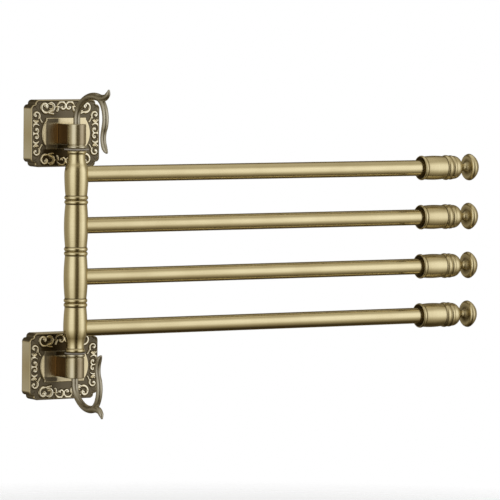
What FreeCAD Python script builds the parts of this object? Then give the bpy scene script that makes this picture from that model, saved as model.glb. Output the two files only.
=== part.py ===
import FreeCAD, Part
import math
import os
import Sketcher

# Swing arm towel bar: two wall flanges carry a column of four swivel sleeves, each with one arm.
# Millimetres and degrees. The wall is the plane y = 0, the object stands out towards -y, +z is up, and the
# origin lies on the wall, half way between the two flanges.

SIZES = {
    # column
    "armPitch": 41.2,             # height from one arm to the next
    "columnStandOff": 33.5,       # wall to column axis
    "spindleRadius": 3.0,
    "spindleRunning": 0.05,       # radial play between spindle and bushes
    "seamGap": 0.3,               # between one sleeve and the next
    "bushProud": 0.1,             # how far a bush's flange stands out of its sleeve
    # swivel sleeves
    "sleeveBellyRadius": 9.7,
    "sleeveNeckRadius": 8.8,
    "sleeveRingRadius": 9.3,
    "sleeveRingHeight": 3.3,
    "endNeckRadius": 7.15,
    "endRingRadius": 7.85,
    "endRingHeight": 2.9,
    "endShoulderRadius": 8.45,
    "endShoulderRise": 7.2,
    "endSleeveRise": 19.25,       # arm to the far end of the first or last sleeve
    "ringSink": 0.6,              # how far a ring's foot lies inside its crest
    "ringBend": 0.62,             # radius of a ring's bulge as a share of its height
    "bellyBend": 165.0,
    "endShoulderBend": 18.7,
    "endBellyBend": 21.6,
    "spigotRadius": 5.5,
    "spigotReach": 20.0,          # column axis to the spigot's end inside the tube
    "socketFloor": 7.0,           # column axis to the floor of the arm's socket
    "slipFit": 0.05,
    # bushes
    "bushWall": 1.5,
    "bushLength": 13.0,
    "bushFlangeRadius": 6.4,
    "bushFlangeHeight": 0.9,
    # arms
    "tubeRadius": 6.6,
    "tubeWall": 1.0,
    "armReach": 324.4,            # column axis to the back of the finial
    # finials
    "capSocketDepth": 20.0,
    "collarRadius": 10.4,
    "collarLength": 2.6,
    "collarBend": 1.95,
    "collarEdge": 0.5,            # width of the flat round the collar's hollow back
    "collarRecess": 2.2,          # depth of the collar's hollow back
    "collarGrooveRadius": 9.25,
    "barrelRadius": 10.1,
    "barrelEndRadius": 9.6,
    "barrelLength": 18.6,
    "barrelBend": 94.0,
    "grooveWidth": 0.9,
    "firstRingLength": 4.4,
    "firstRingBend": 3.6,
    "secondRingLength": 3.1,
    "secondRingBend": 2.5,
    "ringGrooveWidth": 0.6,
    "ringGrooveRadius": 9.7,
    "domeLength": 6.9,
    "domeBend": 6.5,
    "seatRadius": 4.4,
    "seatBend": 5.0,
    "knobNeckRadius": 3.1,
    "knobNeckLength": 4.5,
    "knobFlareLength": 2.7,
    "knobFlareBend": 5.0,
    "knobBackRadius": 8.6,
    "knobShoulderLength": 3.0,    # from the knob's back rim to its widest circle
    "knobShoulderBend": 3.0,
    "knobRadius": 11.3,
    "knobNoseLength": 7.1,
    "knobStudRadius": 2.5,
    "knobStudLength": 22.0,
    "endPlugLength": 14.0,
    "endPlugSet": 1.0,            # end of the tube to the plug
    # posts
    "postRadius": 7.45,
    "postHeight": 16.2,
    "postEdge": 0.5,
    "postGrooveHeight": 0.7,
    "postRingRadius": 7.95,
    "postRingHeight": 2.7,
    "postEndWall": 4.0,
    "postTenonRadius": 3.6,
    "postTenonLength": 2.6,
    "postTapRadius": 2.5,
    "postTapDepth": 12.0,
    # washers
    "washerHeight": 0.9,
    "upperWasherRadius": 9.9,
    "lowerWasherRadius": 8.4,
    "washerPlay": 0.2,            # between a washer and the sleeve beside it
    # hooks
    "hookStudRadius": 2.0,
    "hookStudLength": 10.0,
    "hookTapDepth": 8.0,
    "upperHookTurn": 5.0,         # how far the upper hook is screwed in past square, towards the arms
    "hookRootRadius": 2.75,
    "hookCrownThickness": 3.05,
    "hookSaddleThickness": 2.7,
    "hookHornThickness": 2.0,
    "hookTipRadius": 1.0,
    "hookRootRun": 4.6,
    "hookShoulderRadius": 14.6,
    "hookShoulderTurn": 50.0,
    "hookCrownRadius": 30.8,
    "hookCrownTurn": 52.0,
    "hookSaddleRadius": 22.0,
    "hookSaddleTurn": 22.0,
    "hookHornRadius": 8.0,
    "hookHornTurn": 46.0,
    "hookTipTurn": 19.0,
    "tailStart": 44.0,            # turn of the crown at which the tail leaves it
    "tailShoulderRadius": 15.0,
    "tailShoulderTurn": 56.0,
    "tailBellyRadius": 20.0,
    "tailBellyTurn": 50.0,
    "tailRun": 3.0,
    "tailWaistRadius": 16.0,
    "tailWaistTurn": 50.0,
    "tailCurlRadius": 9.0,
    "tailCurlTurn": 15.0,
    "tailTipTurn": 12.0,
    "tailThickness": 2.6,
    "tailWaistThickness": 2.35,
    "tailEndThickness": 1.9,
    "tailTipRadius": 1.2,
    # flanges
    "flangeWidth": 61.5,
    "flangeHeight": 53.7,
    "flangeDepth": 14.6,
    "flangeWall": 1.8,
    "flangeFront": 2.6,
    "flangeBevel": 0.7,
    "cornerCut": 7.7,             # side of the square that each corner loses
    "cornerNotch": 3.0,           # depth of the notch between a corner's two lobes
    "notchHalfWidth": 0.8,
    "lobeRadius": 3.6,
    "notchRadius": 1.25,
    "bossHalfHeight": 12.6,
    "bossHalfWidth": 17.9,
    "bossShoulder": 1.6,
    "bossBulge": 3.7,             # how far the boss's rounded sides stand out
    "bossRise": 1.0,
    "bossBevel": 0.5,
    # wall brackets
    "bracketThickness": 2.0,
    "bracketStrapWidth": 24.0,
    "bracketWingWidth": 44.0,
    "bracketWingHeight": 15.0,
    "bracketPlay": 0.3,           # between the bracket's upper lug and the flange over it
    "lowerLugDrop": 3.2,          # from the lower lug to the inside of the flange below it
    "lugDepth": 9.0,
    "wallHoleRadius": 2.4,
    "wallHoleSpacing": 33.0,
    # screws
    "postScrewHeadRadius": 5.0,
    "postScrewHeadHeight": 3.0,
    "postScrewLength": 12.0,
    "setScrewRadius": 2.0,
    "setScrewDepth": 6.5,         # wall to the set screw's axis
    "socketAcrossCorners": 2.3,
    "socketDepth": 2.0,
}

ARMS = 4

doc = FreeCAD.newDocument("SwingArmTowelBar")
sheet = doc.addObject("Spreadsheet::Sheet", "Sizes")
for row, (alias, value) in enumerate(SIZES.items(), start=1):
    sheet.set("A%d" % row, alias)
    sheet.set("B%d" % row, str(value))
    sheet.setAlias("B%d" % row, alias)
doc.recompute()


class Length:
    """A length with the formula of the sheet that gives it."""

    def __init__(self, value, formula):
        self.value = float(value)
        self.formula = formula

    def joined(self, other, sign, value):
        text = other.formula if isinstance(other, Length) else repr(float(other))
        return Length(value, "(%s %s %s)" % (self.formula, sign, text))

    def __add__(self, other):
        return self.joined(other, "+", self.value + number(other))

    def __sub__(self, other):
        return self.joined(other, "-", self.value - number(other))

    def __mul__(self, other):
        return self.joined(other, "*", self.value * number(other))

    def __truediv__(self, other):
        return self.joined(other, "/", self.value / number(other))

    def __neg__(self):
        return Length(-self.value, "(-1 * %s)" % self.formula)


def number(length):
    return length.value if isinstance(length, Length) else float(length)


def size(alias):
    return Length(sheet.get(alias), "Sizes." + alias)


NONE = Length(0, "0")
nodes = []


# ---- building blocks ----

def bind(thing, path, length):
    """Ties a property of an object to the sheet."""
    thing.setExpression(path, length.formula)


def newBody(name):
    body = doc.addObject("PartDesign::Body", name)
    body.Label = name
    nodes.append(body)
    return body


def place(thing, across=NONE, out=NONE, up=NONE, axis=None, angle=0.0):
    """Puts an object at x = across, y = -out, z = up, turned about one axis."""
    if axis is not None:
        thing.Placement = FreeCAD.Placement(FreeCAD.Vector(), FreeCAD.Rotation(axis, angle))
    bind(thing, "Placement.Base.x", across)
    bind(thing, "Placement.Base.y", -out)
    bind(thing, "Placement.Base.z", up)


def newSketch(body, name, role, offset=None):
    sketch = body.newObject("Sketcher::SketchObject", name)
    plane = [face for face in body.Origin.OriginFeatures if face.Role == role][0]
    sketch.AttachmentSupport = (plane, [""])
    sketch.MapMode = "FlatFace"
    if offset is not None:
        bind(sketch, "AttachmentOffset.Base.z", offset)
    return sketch


def fixValue(sketch, kind, where, length):
    """Adds a dimension tied to the sheet; a point at zero is put on the axis instead."""
    if number(length) == 0.0:
        sketch.addConstraint(Sketcher.Constraint("PointOnObject", *where, -2 if kind == "DistanceX" else -1))
        return
    origin = () if kind == "Radius" else (-1, 1)
    index = sketch.addConstraint(Sketcher.Constraint(kind, *origin, *where, number(length)))
    if isinstance(length, Length):
        sketch.setExpression("Constraints[%d]" % index, length.formula)


def arcThrough(start, end, radius, side):
    """The arc from start to end whose middle lies to the left (side 1) or right (side -1)."""
    chord = end - start
    half = chord.Length / 2
    left = FreeCAD.Vector(-chord.y, chord.x, 0).normalize()
    rise = radius - math.sqrt(max(radius * radius - half * half, 0.0))
    return Part.Arc(start, start + chord / 2 + left * side * rise, end)


def outline(sketch, corners):
    """Closes an outline through corners (x, y), or (x, y, radius, side) where an arc starts."""
    points = [FreeCAD.Vector(number(corner[0]), number(corner[1]), 0) for corner in corners]
    count = len(points)
    for i, corner in enumerate(corners):
        start, end = points[i], points[(i + 1) % count]
        if len(corner) > 2:
            sketch.addGeometry(arcThrough(start, end, number(corner[2]), corner[3]), False)
        else:
            sketch.addGeometry(Part.LineSegment(start, end), False)
    heads = []
    for i in range(count):
        near = (sketch.getPoint(i, 1) - points[i]).Length < (sketch.getPoint(i, 2) - points[i]).Length
        heads.append((1, 2) if near else (2, 1))
    for i, corner in enumerate(corners):
        after = (i + 1) % count
        sketch.addConstraint(Sketcher.Constraint("Coincident", i, heads[i][1], after, heads[after][0]))
        fixValue(sketch, "DistanceX", (i, heads[i][0]), corner[0])
        fixValue(sketch, "DistanceY", (i, heads[i][0]), corner[1])
        if len(corner) > 2:
            fixValue(sketch, "Radius", (i,), corner[2])


def circle(sketch, radius, across=NONE, up=NONE):
    centre = FreeCAD.Vector(number(across), number(up), 0)
    index = sketch.addGeometry(Part.Circle(centre, FreeCAD.Vector(0, 0, 1), number(radius)), False)
    fixValue(sketch, "Radius", (index,), radius)
    fixValue(sketch, "DistanceX", (index, 3), across)
    fixValue(sketch, "DistanceY", (index, 3), up)


def rectangle(sketch, left, right, low, high):
    outline(sketch, [(left, low), (right, low), (right, high), (left, high)])


def revolve(body, name, corners, axis="V_Axis"):
    """Turns a profile of the xz plane about the body's z axis (V_Axis) or x axis (H_Axis)."""
    sketch = newSketch(body, name + "Profile", "XZ_Plane")
    outline(sketch, corners)
    feature = body.newObject("PartDesign::Revolution", name)
    feature.Profile = (sketch, [""])
    feature.ReferenceAxis = (sketch, [axis])
    feature.Angle = 360.0
    return feature


def extrude(body, name, sketch, length, cut=False, reversed_=False):
    """Pads or pockets a sketch by a length of the sheet."""
    feature = body.newObject("PartDesign::Pocket" if cut else "PartDesign::Pad", name)
    feature.Profile = (sketch, [""])
    feature.Reversed = reversed_
    bind(feature, "Length", length)
    return feature


# ---- column ----

def makeSpindle(upperEnd):
    """Round bar through all the sleeves, tapped at both ends for the hooks' studs."""
    body = newBody("spindle")
    wall = size("spindleRadius")
    tap = size("hookStudRadius") + size("slipFit")
    floor = upperEnd - size("hookTapDepth")
    revolve(body, "Bar", [
        (NONE, -floor), (tap, -floor), (tap, -upperEnd), (wall, -upperEnd),
        (wall, upperEnd), (tap, upperEnd), (tap, floor), (NONE, floor),
    ])
    place(body, out=size("columnStandOff"))


def bushBore():
    return size("spindleRadius") + size("spindleRunning")


def bushRadius():
    return bushBore() + size("bushWall")


def makeBush(name, end, up, flipped):
    """Flanged bush pressed into one end of a sleeve: end is the sleeve end's height above the arm."""
    body = newBody(name)
    top = end + size("bushProud")
    under = top - size("bushFlangeHeight")
    foot = under - size("bushLength")
    rim = size("bushFlangeRadius")
    revolve(body, "Bush", [
        (bushBore(), foot), (bushRadius(), foot), (bushRadius(), under), (rim, under),
        (rim, top), (bushBore(), top),
    ])
    place(body, out=size("columnStandOff"), up=up, axis=FreeCAD.Vector(1, 0, 0), angle=180.0 if flipped else 0.0)


def ringedEnd(end, ringRadius, ringHeight, neckRadius):
    """Profile of a sleeve's ring from the neck to the end face, going up."""
    sink = size("ringSink")
    foot = end - ringHeight
    return [
        (neckRadius, foot - sink / 2),
        (ringRadius - sink, foot, ringHeight * size("ringBend"), -1),
        (ringRadius - sink, end),
    ]


def mirroredDown(corners):
    """The same profile below the arm, so that it runs upwards too."""
    below = []
    for corner, before in zip(reversed(corners), list(reversed(corners[:-1])) + [None]):
        flat = (corner[0], -corner[1])
        if before is not None and len(before) > 2:
            flat = flat + (before[2], before[3])
        below.append(flat)
    return below


def makeSleeve(name, up, first=False, last=False):
    """Baluster sleeve that turns on the spindle, with a socket and spigot for its arm."""
    body = newBody(name)
    seam = (size("armPitch") - size("seamGap")) / 2
    seamEnd = ringedEnd(seam, size("sleeveRingRadius"), size("sleeveRingHeight"), size("sleeveNeckRadius"))
    belly = size("sleeveBellyRadius")
    swell = (size("bellyBend"), -1)
    lower = mirroredDown(seamEnd)
    lower[-1] = lower[-1][:2] + swell
    top = seam
    if first or last:
        top = size("endSleeveRise")
        farEnd = ringedEnd(top, size("endRingRadius"), size("endRingHeight"), size("endNeckRadius"))
        shoulder = (size("endShoulderRadius"), size("endShoulderRise"), size("endShoulderBend"), 1)
        upper = [(belly, NONE, size("endBellyBend"), -1), shoulder] + farEnd
    else:
        upper = [(belly, NONE) + swell] + seamEnd
    bore = bushRadius() + size("slipFit")
    recess = size("bushFlangeRadius") + size("slipFit")
    sink = size("bushFlangeHeight") - size("bushProud")
    inner = [
        (recess, top), (recess, top - sink), (bore, top - sink),
        (bore, sink - seam), (recess, sink - seam), (recess, -seam),
    ]
    revolve(body, "Turning", lower + upper + inner)

    socket = newSketch(body, "SocketCircle", "YZ_Plane", size("socketFloor"))
    circle(socket, size("tubeRadius") + size("slipFit"))
    extrude(body, "Socket", socket, belly, cut=True, reversed_=True)
    start = bore + (size("socketFloor") - bore) / 2
    spigot = newSketch(body, "SpigotCircle", "YZ_Plane", start)
    circle(spigot, size("spigotRadius"))
    extrude(body, "Spigot", spigot, size("spigotReach") - start)
    place(body, out=size("columnStandOff"), up=up, axis=FreeCAD.Vector(1, 0, 0), angle=180.0 if last else 0.0)


def makeWasher(name, low, radius):
    body = newBody(name)
    bore = bushBore()
    high = low + size("washerHeight")
    revolve(body, "Ring", [(bore, low), (radius, low), (radius, high), (bore, high)])
    place(body, out=size("columnStandOff"))


# ---- arms ----

def makeTube(name, up):
    body = newBody(name)
    start = size("socketFloor") + size("slipFit")
    sketch = newSketch(body, "TubeRing", "YZ_Plane", start)
    circle(sketch, size("tubeRadius"))
    circle(sketch, size("tubeRadius") - size("tubeWall"))
    extrude(body, "Tube", sketch, size("armReach") + size("capSocketDepth") - start - size("slipFit"))
    place(body, out=size("columnStandOff"), up=up)


def makeEndPlug(name, up):
    """Tapped plug in the tube's end that the knob's stud screws into."""
    body = newBody(name)
    end = size("armReach") + size("capSocketDepth") - size("slipFit") - size("endPlugSet")
    start = end - size("endPlugLength")
    outer = size("tubeRadius") - size("tubeWall") - size("slipFit")
    inner = size("knobStudRadius") + size("slipFit")
    revolve(body, "Plug", [(start, inner), (end, inner), (end, outer), (start, outer)], "H_Axis")
    place(body, out=size("columnStandOff"), up=up)


def makeFinialCap(name, up):
    """Turned cap over the tube's end: collar, bellied barrel, two rings and a dome."""
    body = newBody(name)
    groove = size("grooveWidth")
    back = size("armReach")
    collarEnd = back + size("collarLength")
    barrelStart = collarEnd + groove
    barrelEnd = barrelStart + size("barrelLength")
    firstStart = barrelEnd + groove
    firstEnd = firstStart + size("firstRingLength")
    secondStart = firstEnd + size("ringGrooveWidth")
    secondEnd = secondStart + size("secondRingLength")
    domeStart = secondEnd + size("ringGrooveWidth")
    domeEnd = domeStart + size("domeLength")
    floor = back + size("capSocketDepth")
    ringGroove = size("ringGrooveRadius")
    collarGroove = size("collarGrooveRadius")
    bore = size("tubeRadius") + size("slipFit")
    stud = size("knobStudRadius") + size("slipFit")
    middle = barrelStart + size("barrelLength") / 2
    swell = size("barrelBend")
    lip = size("collarRadius") - size("ringSink")
    recessRim = lip - size("collarEdge")
    recessFloor = back + size("collarRecess")
    revolve(body, "Cap", [
        (recessFloor, bore), (back, recessRim), (back, lip, size("collarBend"), 1), (collarEnd, lip),
        (collarEnd, collarGroove), (barrelStart, collarGroove), (barrelStart, size("barrelEndRadius"), swell, 1),
        (middle, size("barrelRadius"), swell, 1), (barrelEnd, size("barrelEndRadius")),
        (barrelEnd, collarGroove), (firstStart, collarGroove),
        (firstStart, ringGroove, size("firstRingBend"), 1), (firstEnd, ringGroove),
        (secondStart, ringGroove, size("secondRingBend"), 1), (secondEnd, ringGroove),
        (domeStart, ringGroove, size("domeBend"), 1),
        (domeEnd, size("seatRadius")), (domeEnd, stud), (floor, stud), (floor, bore),
    ], "H_Axis")
    place(body, out=size("columnStandOff"), up=up)
    return domeEnd


def makeFinialKnob(name, up, seat):
    """Mushroom knob on a slim neck, with the stud that holds the cap on."""
    body = newBody(name)
    neckEnd = seat + size("knobNeckLength")
    backRim = neckEnd + size("knobFlareLength")
    widest = backRim + size("knobShoulderLength")
    widestRadius = size("knobRadius")
    noseLength = size("knobNoseLength")
    noseBend = (widestRadius * widestRadius + noseLength * noseLength) / (noseLength * 2)
    stud = size("knobStudRadius")
    studEnd = seat - size("knobStudLength")
    revolve(body, "Knob", [
        (studEnd, NONE), (studEnd, stud), (seat, stud), (seat, size("seatRadius"), size("seatBend"), -1),
        (neckEnd, size("knobNeckRadius"), size("knobFlareBend"), -1),
        (backRim, size("knobBackRadius"), size("knobShoulderBend"), 1),
        (widest, widestRadius, noseBend, 1), (widest + noseLength, NONE),
    ], "H_Axis")
    place(body, out=size("columnStandOff"), up=up)


# ---- wall side ----

def makePost(name, up, flipped, flangeFace):
    """Barrel on the column axis with the square stem that ties it to its flange."""
    body = newBody(name)
    radius = size("postRadius")
    half = size("postHeight") / 2
    edge = size("postEdge")
    grooveEnd = half + size("postGrooveHeight")
    ringEnd = grooveEnd + size("postRingHeight")
    ring = size("postRingRadius") - size("ringSink")
    revolve(body, "Barrel", [
        (NONE, -ringEnd), (ring, -ringEnd, size("postRingHeight") * size("ringBend"), -1), (ring, -grooveEnd),
        (radius - edge, -grooveEnd), (radius - edge, -half), (radius, edge - half),
        (radius, half - edge), (radius - edge, half), (NONE, half),
    ])
    reach = size("columnStandOff") - flangeFace
    stem = newSketch(body, "StemOutline", "XZ_Plane")
    outline(stem, fourCorners([(radius, half - edge), (radius - edge, half)]))
    extrude(body, "Stem", stem, reach, reversed_=True)
    tenon = newSketch(body, "TenonCircle", "XZ_Plane", -reach - size("postTenonLength"))
    circle(tenon, size("postTenonRadius"))
    extrude(body, "Tenon", tenon, size("postTenonLength") + edge)
    bore = newSketch(body, "BoreCircle", "XY_Plane", -ringEnd)
    circle(bore, size("spindleRadius") + size("slipFit"))
    extrude(body, "Bore", bore, ringEnd + half - size("postEndWall"), cut=True, reversed_=True)
    stud = newSketch(body, "StudCircle", "XY_Plane", half)
    circle(stud, size("hookStudRadius") + size("slipFit"))
    extrude(body, "StudHole", stud, size("postEndWall") + edge, cut=True)
    tap = newSketch(body, "TapCircle", "XZ_Plane", -reach - size("postTenonLength"))
    circle(tap, size("postTapRadius") + size("slipFit"))
    extrude(body, "ScrewHole", tap, size("postTapDepth"), cut=True, reversed_=True)
    place(body, out=size("columnStandOff"), up=up, axis=FreeCAD.Vector(0, 1, 0), angle=180.0 if flipped else 0.0)


def cornerLobes(halfWidth, halfHeight, inset):
    """One quarter of the flange's outline, from its side to its top: two lobes and a notch."""
    cut = size("cornerCut") - inset / 2
    notch = size("cornerNotch") + inset / 2
    spread = size("notchHalfWidth")
    lobe = size("lobeRadius")
    return [
        (halfWidth, halfHeight - cut, lobe, -1),
        (halfWidth - notch + spread, halfHeight - notch - spread, size("notchRadius"), 1),
        (halfWidth - notch - spread, halfHeight - notch + spread, lobe, -1),
        (halfWidth - cut, halfHeight),
    ]


def fourCorners(quarter):
    """Mirrors a quarter outline into all four, counterclockwise from the right side."""
    def turned(flipX, flipY):
        order = list(quarter)
        if flipX != flipY:
            curves = [corner[2:] for corner in order[:-1]]
            order = [corner[:2] for corner in reversed(order)]
            order = [flat + curve for flat, curve in zip(order, list(reversed(curves)) + [()])]
        return [(-c[0] if flipX else c[0], -c[1] if flipY else c[1]) + tuple(c[2:]) for c in order]
    return turned(False, False) + turned(True, False) + turned(True, True) + turned(False, True)


def chamferFront(body, name, feature, out, width):
    """Chamfers the edges of a feature that lie on its front face, at y = -out."""
    doc.recompute()
    rim = ["Edge%d" % (i + 1) for i, edge in enumerate(feature.Shape.Edges)
           if all(abs(vertex.Y + out.value) < 1e-6 for vertex in edge.Vertexes)]
    bevel = body.newObject("PartDesign::Chamfer", name)
    bevel.Base = (feature, rim)
    bind(bevel, "Size", width)


def makeFlange(name, up):
    """Hollow cover with lobed corners, a raised boss and a hole for the post's tenon."""
    body = newBody(name)
    halfWidth = size("flangeWidth") / 2
    halfHeight = size("flangeHeight") / 2
    depth = size("flangeDepth")
    face = newSketch(body, "FlangeOutline", "XZ_Plane")
    outline(face, fourCorners(cornerLobes(halfWidth, halfHeight, NONE)))
    casting = extrude(body, "Casting", face, depth)
    chamferFront(body, "FrontBevel", casting, depth, size("flangeBevel"))
    wall = size("flangeWall")
    hollow = newSketch(body, "HollowOutline", "XZ_Plane")
    cut = size("cornerCut")
    innerX, innerZ = halfWidth - wall, halfHeight - wall
    outline(hollow, fourCorners([(innerX, innerZ - cut), (innerX - cut, innerZ)]))
    extrude(body, "Hollow", hollow, depth - size("flangeFront"), cut=True, reversed_=True)

    boss = newSketch(body, "BossOutline", "XZ_Plane", depth - size("flangeFront") / 2)
    bossWide, bossHigh, bulge = size("bossHalfWidth"), size("bossHalfHeight"), size("bossBulge")
    shoulder = bossHigh - size("bossShoulder")
    bend = (shoulder * shoulder + bulge * bulge) / (bulge * 2)
    outline(boss, [
        (bossWide, -shoulder, bend, -1), (bossWide, shoulder), (bossWide, bossHigh), (-bossWide, bossHigh),
        (-bossWide, shoulder, bend, -1), (-bossWide, -shoulder), (-bossWide, -bossHigh), (bossWide, -bossHigh),
    ])
    raised = extrude(body, "Boss", boss, size("flangeFront") / 2 + size("bossRise"))
    chamferFront(body, "BossBevel", raised, depth + size("bossRise"), size("bossBevel"))

    hole = newSketch(body, "TenonHole", "XZ_Plane")
    circle(hole, size("postTenonRadius") + size("slipFit"))
    extrude(body, "TenonSeat", hole, depth + size("bossRise"), cut=True, reversed_=True)
    tap = newSketch(body, "SetScrewCircle", "XY_Plane", -halfHeight)
    circle(tap, size("setScrewRadius") + size("slipFit"), up=-size("setScrewDepth"))
    extrude(body, "SetScrewHole", tap, wall + size("flangeBevel"), cut=True, reversed_=True)
    place(body, up=up)


def makeBracket(name, up):
    """Steel bracket screwed to the wall: a cross-shaped plate with two turned-out lugs."""
    body = newBody(name)
    strap, wing = size("bracketStrapWidth") / 2, size("bracketWingWidth") / 2
    inside = size("flangeHeight") / 2 - size("flangeWall")
    top = inside - size("bracketPlay")
    foot = size("lowerLugDrop") - inside
    arm = size("bracketWingHeight") / 2
    plate = newSketch(body, "PlateOutline", "XZ_Plane")
    outline(plate, [
        (wing, -arm), (wing, arm), (strap, arm), (strap, top), (-strap, top), (-strap, arm),
        (-wing, arm), (-wing, -arm), (-strap, -arm), (-strap, foot), (strap, foot), (strap, -arm),
    ])
    hole = size("wallHoleSpacing") / 2
    circle(plate, size("wallHoleRadius"), hole)
    circle(plate, size("wallHoleRadius"), -hole)
    extrude(body, "Plate", plate, size("bracketThickness"))
    for side, low in (("Upper", top - size("bracketThickness")), ("Lower", foot)):
        lug = newSketch(body, side + "LugOutline", "XZ_Plane")
        rectangle(lug, -strap, strap, low, low + size("bracketThickness"))
        extrude(body, side + "Lug", lug, size("lugDepth"))
    place(body, up=up)


# ---- hooks ----

def walk(station, moves):
    """Stations (forward, up, heading, radius) along straight runs and tangent arcs in the hook's plane."""
    stations = [station]
    forward, up, heading, first = station
    for reach, turn, steps, last in moves:
        for step in range(1, steps + 1):
            if turn == 0.0:
                forward += reach / steps * math.cos(heading)
                up += reach / steps * math.sin(heading)
            else:
                bend = math.radians(turn) / steps
                sign = math.copysign(1.0, turn)
                forward += reach * sign * (math.sin(heading + bend) - math.sin(heading))
                up += reach * sign * (math.cos(heading) - math.cos(heading + bend))
                heading += bend
            stations.append((forward, up, heading, first + (last - first) * step / steps))
        first = last
    return stations


def loftRod(body, name, stations):
    """Round rod through one circle at each station, rounded off at its tip."""
    circles = []
    for i, (forward, up, heading, radius) in enumerate(stations):
        sketch = newSketch(body, "%sCircle%d" % (name, i), "XY_Plane")
        turn = FreeCAD.Rotation(FreeCAD.Vector(1, 0, 0), 90.0 - math.degrees(heading))
        sketch.AttachmentOffset = FreeCAD.Placement(FreeCAD.Vector(0, -forward, up), turn)
        circle(sketch, radius)
        circles.append(sketch)
    loft = body.newObject("PartDesign::AdditiveLoft", name)
    loft.Profile = (circles[0], [""])
    loft.Sections = [(sketch, [""]) for sketch in circles[1:]]
    loft.Ruled = False
    loft.Closed = False
    forward, up, heading, radius = stations[-1]
    tip = body.newObject("PartDesign::AdditiveSphere", name + "Tip")
    tip.Placement = FreeCAD.Placement(FreeCAD.Vector(0, -forward, up), FreeCAD.Rotation())
    tip.Radius = radius


def makeHook(name, up, flipped, turn):
    """S-shaped double hook: an arched trunk that ends in a horn, and a tail that hangs from it."""
    body = newBody(name)
    value = sheet.get
    root = (0.0, 0.0, math.radians(90.0), value("hookRootRadius"))
    arch = walk(root, [
        (value("hookRootRun"), 0.0, 1, value("hookRootRadius")),
        (value("hookShoulderRadius"), -value("hookShoulderTurn"), 2, value("hookRootRadius")),
        (value("hookCrownRadius"), -value("tailStart"), 3, value("hookCrownThickness")),
    ])
    horn = walk(arch[-1], [
        (value("hookCrownRadius"), value("tailStart") - value("hookCrownTurn"), 1, value("hookCrownThickness")),
        (value("hookSaddleRadius"), value("hookSaddleTurn"), 1, value("hookSaddleThickness")),
        (value("hookHornRadius"), value("hookHornTurn"), 2, value("hookHornThickness")),
        (value("hookHornRadius"), value("hookTipTurn"), 1, value("hookTipRadius")),
    ])
    tail = walk(arch[-1][:3] + (value("tailThickness"),), [
        (value("tailShoulderRadius"), -value("tailShoulderTurn"), 3, value("tailThickness")),
        (value("tailBellyRadius"), -value("tailBellyTurn"), 2, value("tailThickness")),
        (value("tailRun"), 0.0, 1, value("tailWaistThickness")),
        (value("tailWaistRadius"), value("tailWaistTurn"), 2, value("tailWaistThickness")),
        (value("tailCurlRadius"), value("tailCurlTurn"), 1, value("tailEndThickness")),
        (value("tailCurlRadius"), value("tailTipTurn"), 1, value("tailTipRadius")),
    ])
    loftRod(body, "Trunk", arch + horn[1:])
    loftRod(body, "Tail", tail)
    stud = newSketch(body, "StudCircle", "XY_Plane")
    circle(stud, size("hookStudRadius"))
    extrude(body, "Stud", stud, size("hookStudLength"), reversed_=True)
    axis = FreeCAD.Vector(0, 1, 0) if flipped else FreeCAD.Vector(0, 0, 1)
    place(body, out=size("columnStandOff"), up=up, axis=axis, angle=180.0 if flipped else turn)


# ---- screws ----

def cylinder(name, radius, height, axis=None, angle=0.0, across=NONE, out=NONE, up=NONE):
    solid = doc.addObject("Part::Cylinder", name)
    bind(solid, "Radius", radius)
    bind(solid, "Height", height)
    place(solid, across, out, up, axis, angle)
    return solid


def makePostScrews(heights):
    """Screws whose heads bear on the inside of each flange's front and pull the post against it."""
    towardsViewer = FreeCAD.Vector(1, 0, 0)
    headStart = size("flangeDepth") - size("flangeFront") - size("slipFit") - size("postScrewHeadHeight")
    screws = []
    for i, up in enumerate(heights):
        head = cylinder("ScrewHead%d" % i, size("postScrewHeadRadius"), size("postScrewHeadHeight"),
                        towardsViewer, 90.0, out=headStart, up=up)
        shank = cylinder("ScrewShank%d" % i, size("postTapRadius"),
                         size("postScrewLength") + size("postScrewHeadHeight"),
                         towardsViewer, 90.0, out=headStart, up=up)
        screw = doc.addObject("Part::Fuse", "PostScrew%d" % i)
        screw.Base, screw.Tool = head, shank
        screws.append(screw)
    group(screws, "post_screws")


def makeSetScrews(heights):
    """Socket set screws that lock each flange on its bracket from below."""
    screws = []
    for i, up in enumerate(heights):
        base = up - size("flangeHeight") / 2 + size("slipFit")
        length = size("flangeWall") + size("lowerLugDrop") - size("slipFit")
        rod = cylinder("SetRod%d" % i, size("setScrewRadius"), length, out=size("setScrewDepth"), up=base)
        key = doc.addObject("Part::Prism", "SetKey%d" % i)
        key.Polygon = 6
        bind(key, "Circumradius", size("socketAcrossCorners") / 2)
        bind(key, "Height", size("socketDepth"))
        place(key, out=size("setScrewDepth"), up=base)
        screw = doc.addObject("Part::Cut", "SetScrew%d" % i)
        screw.Base, screw.Tool = rod, key
        screws.append(screw)
    group(screws, "set_screws")


def group(solids, name):
    compound = doc.addObject("Part::Compound", name)
    compound.Links = solids
    compound.Label = name
    nodes.append(compound)


# ---- assembly ----

pitch = size("armPitch")
seam = (pitch - size("seamGap")) / 2
sleeveEnd = pitch * ((ARMS - 1) / 2) + size("endSleeveRise")
washerLow = sleeveEnd + size("washerPlay")
postFoot = washerLow + size("washerHeight")
postCentre = postFoot + size("postRingHeight") + size("postGrooveHeight") + size("postHeight") / 2
postTop = postCentre + size("postHeight") / 2
spindleEnd = postTop - size("postEndWall") - size("slipFit")
flangeFace = size("flangeDepth") + size("bossRise")
ends = (("upper", postCentre, False), ("lower", -postCentre, True))

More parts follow.
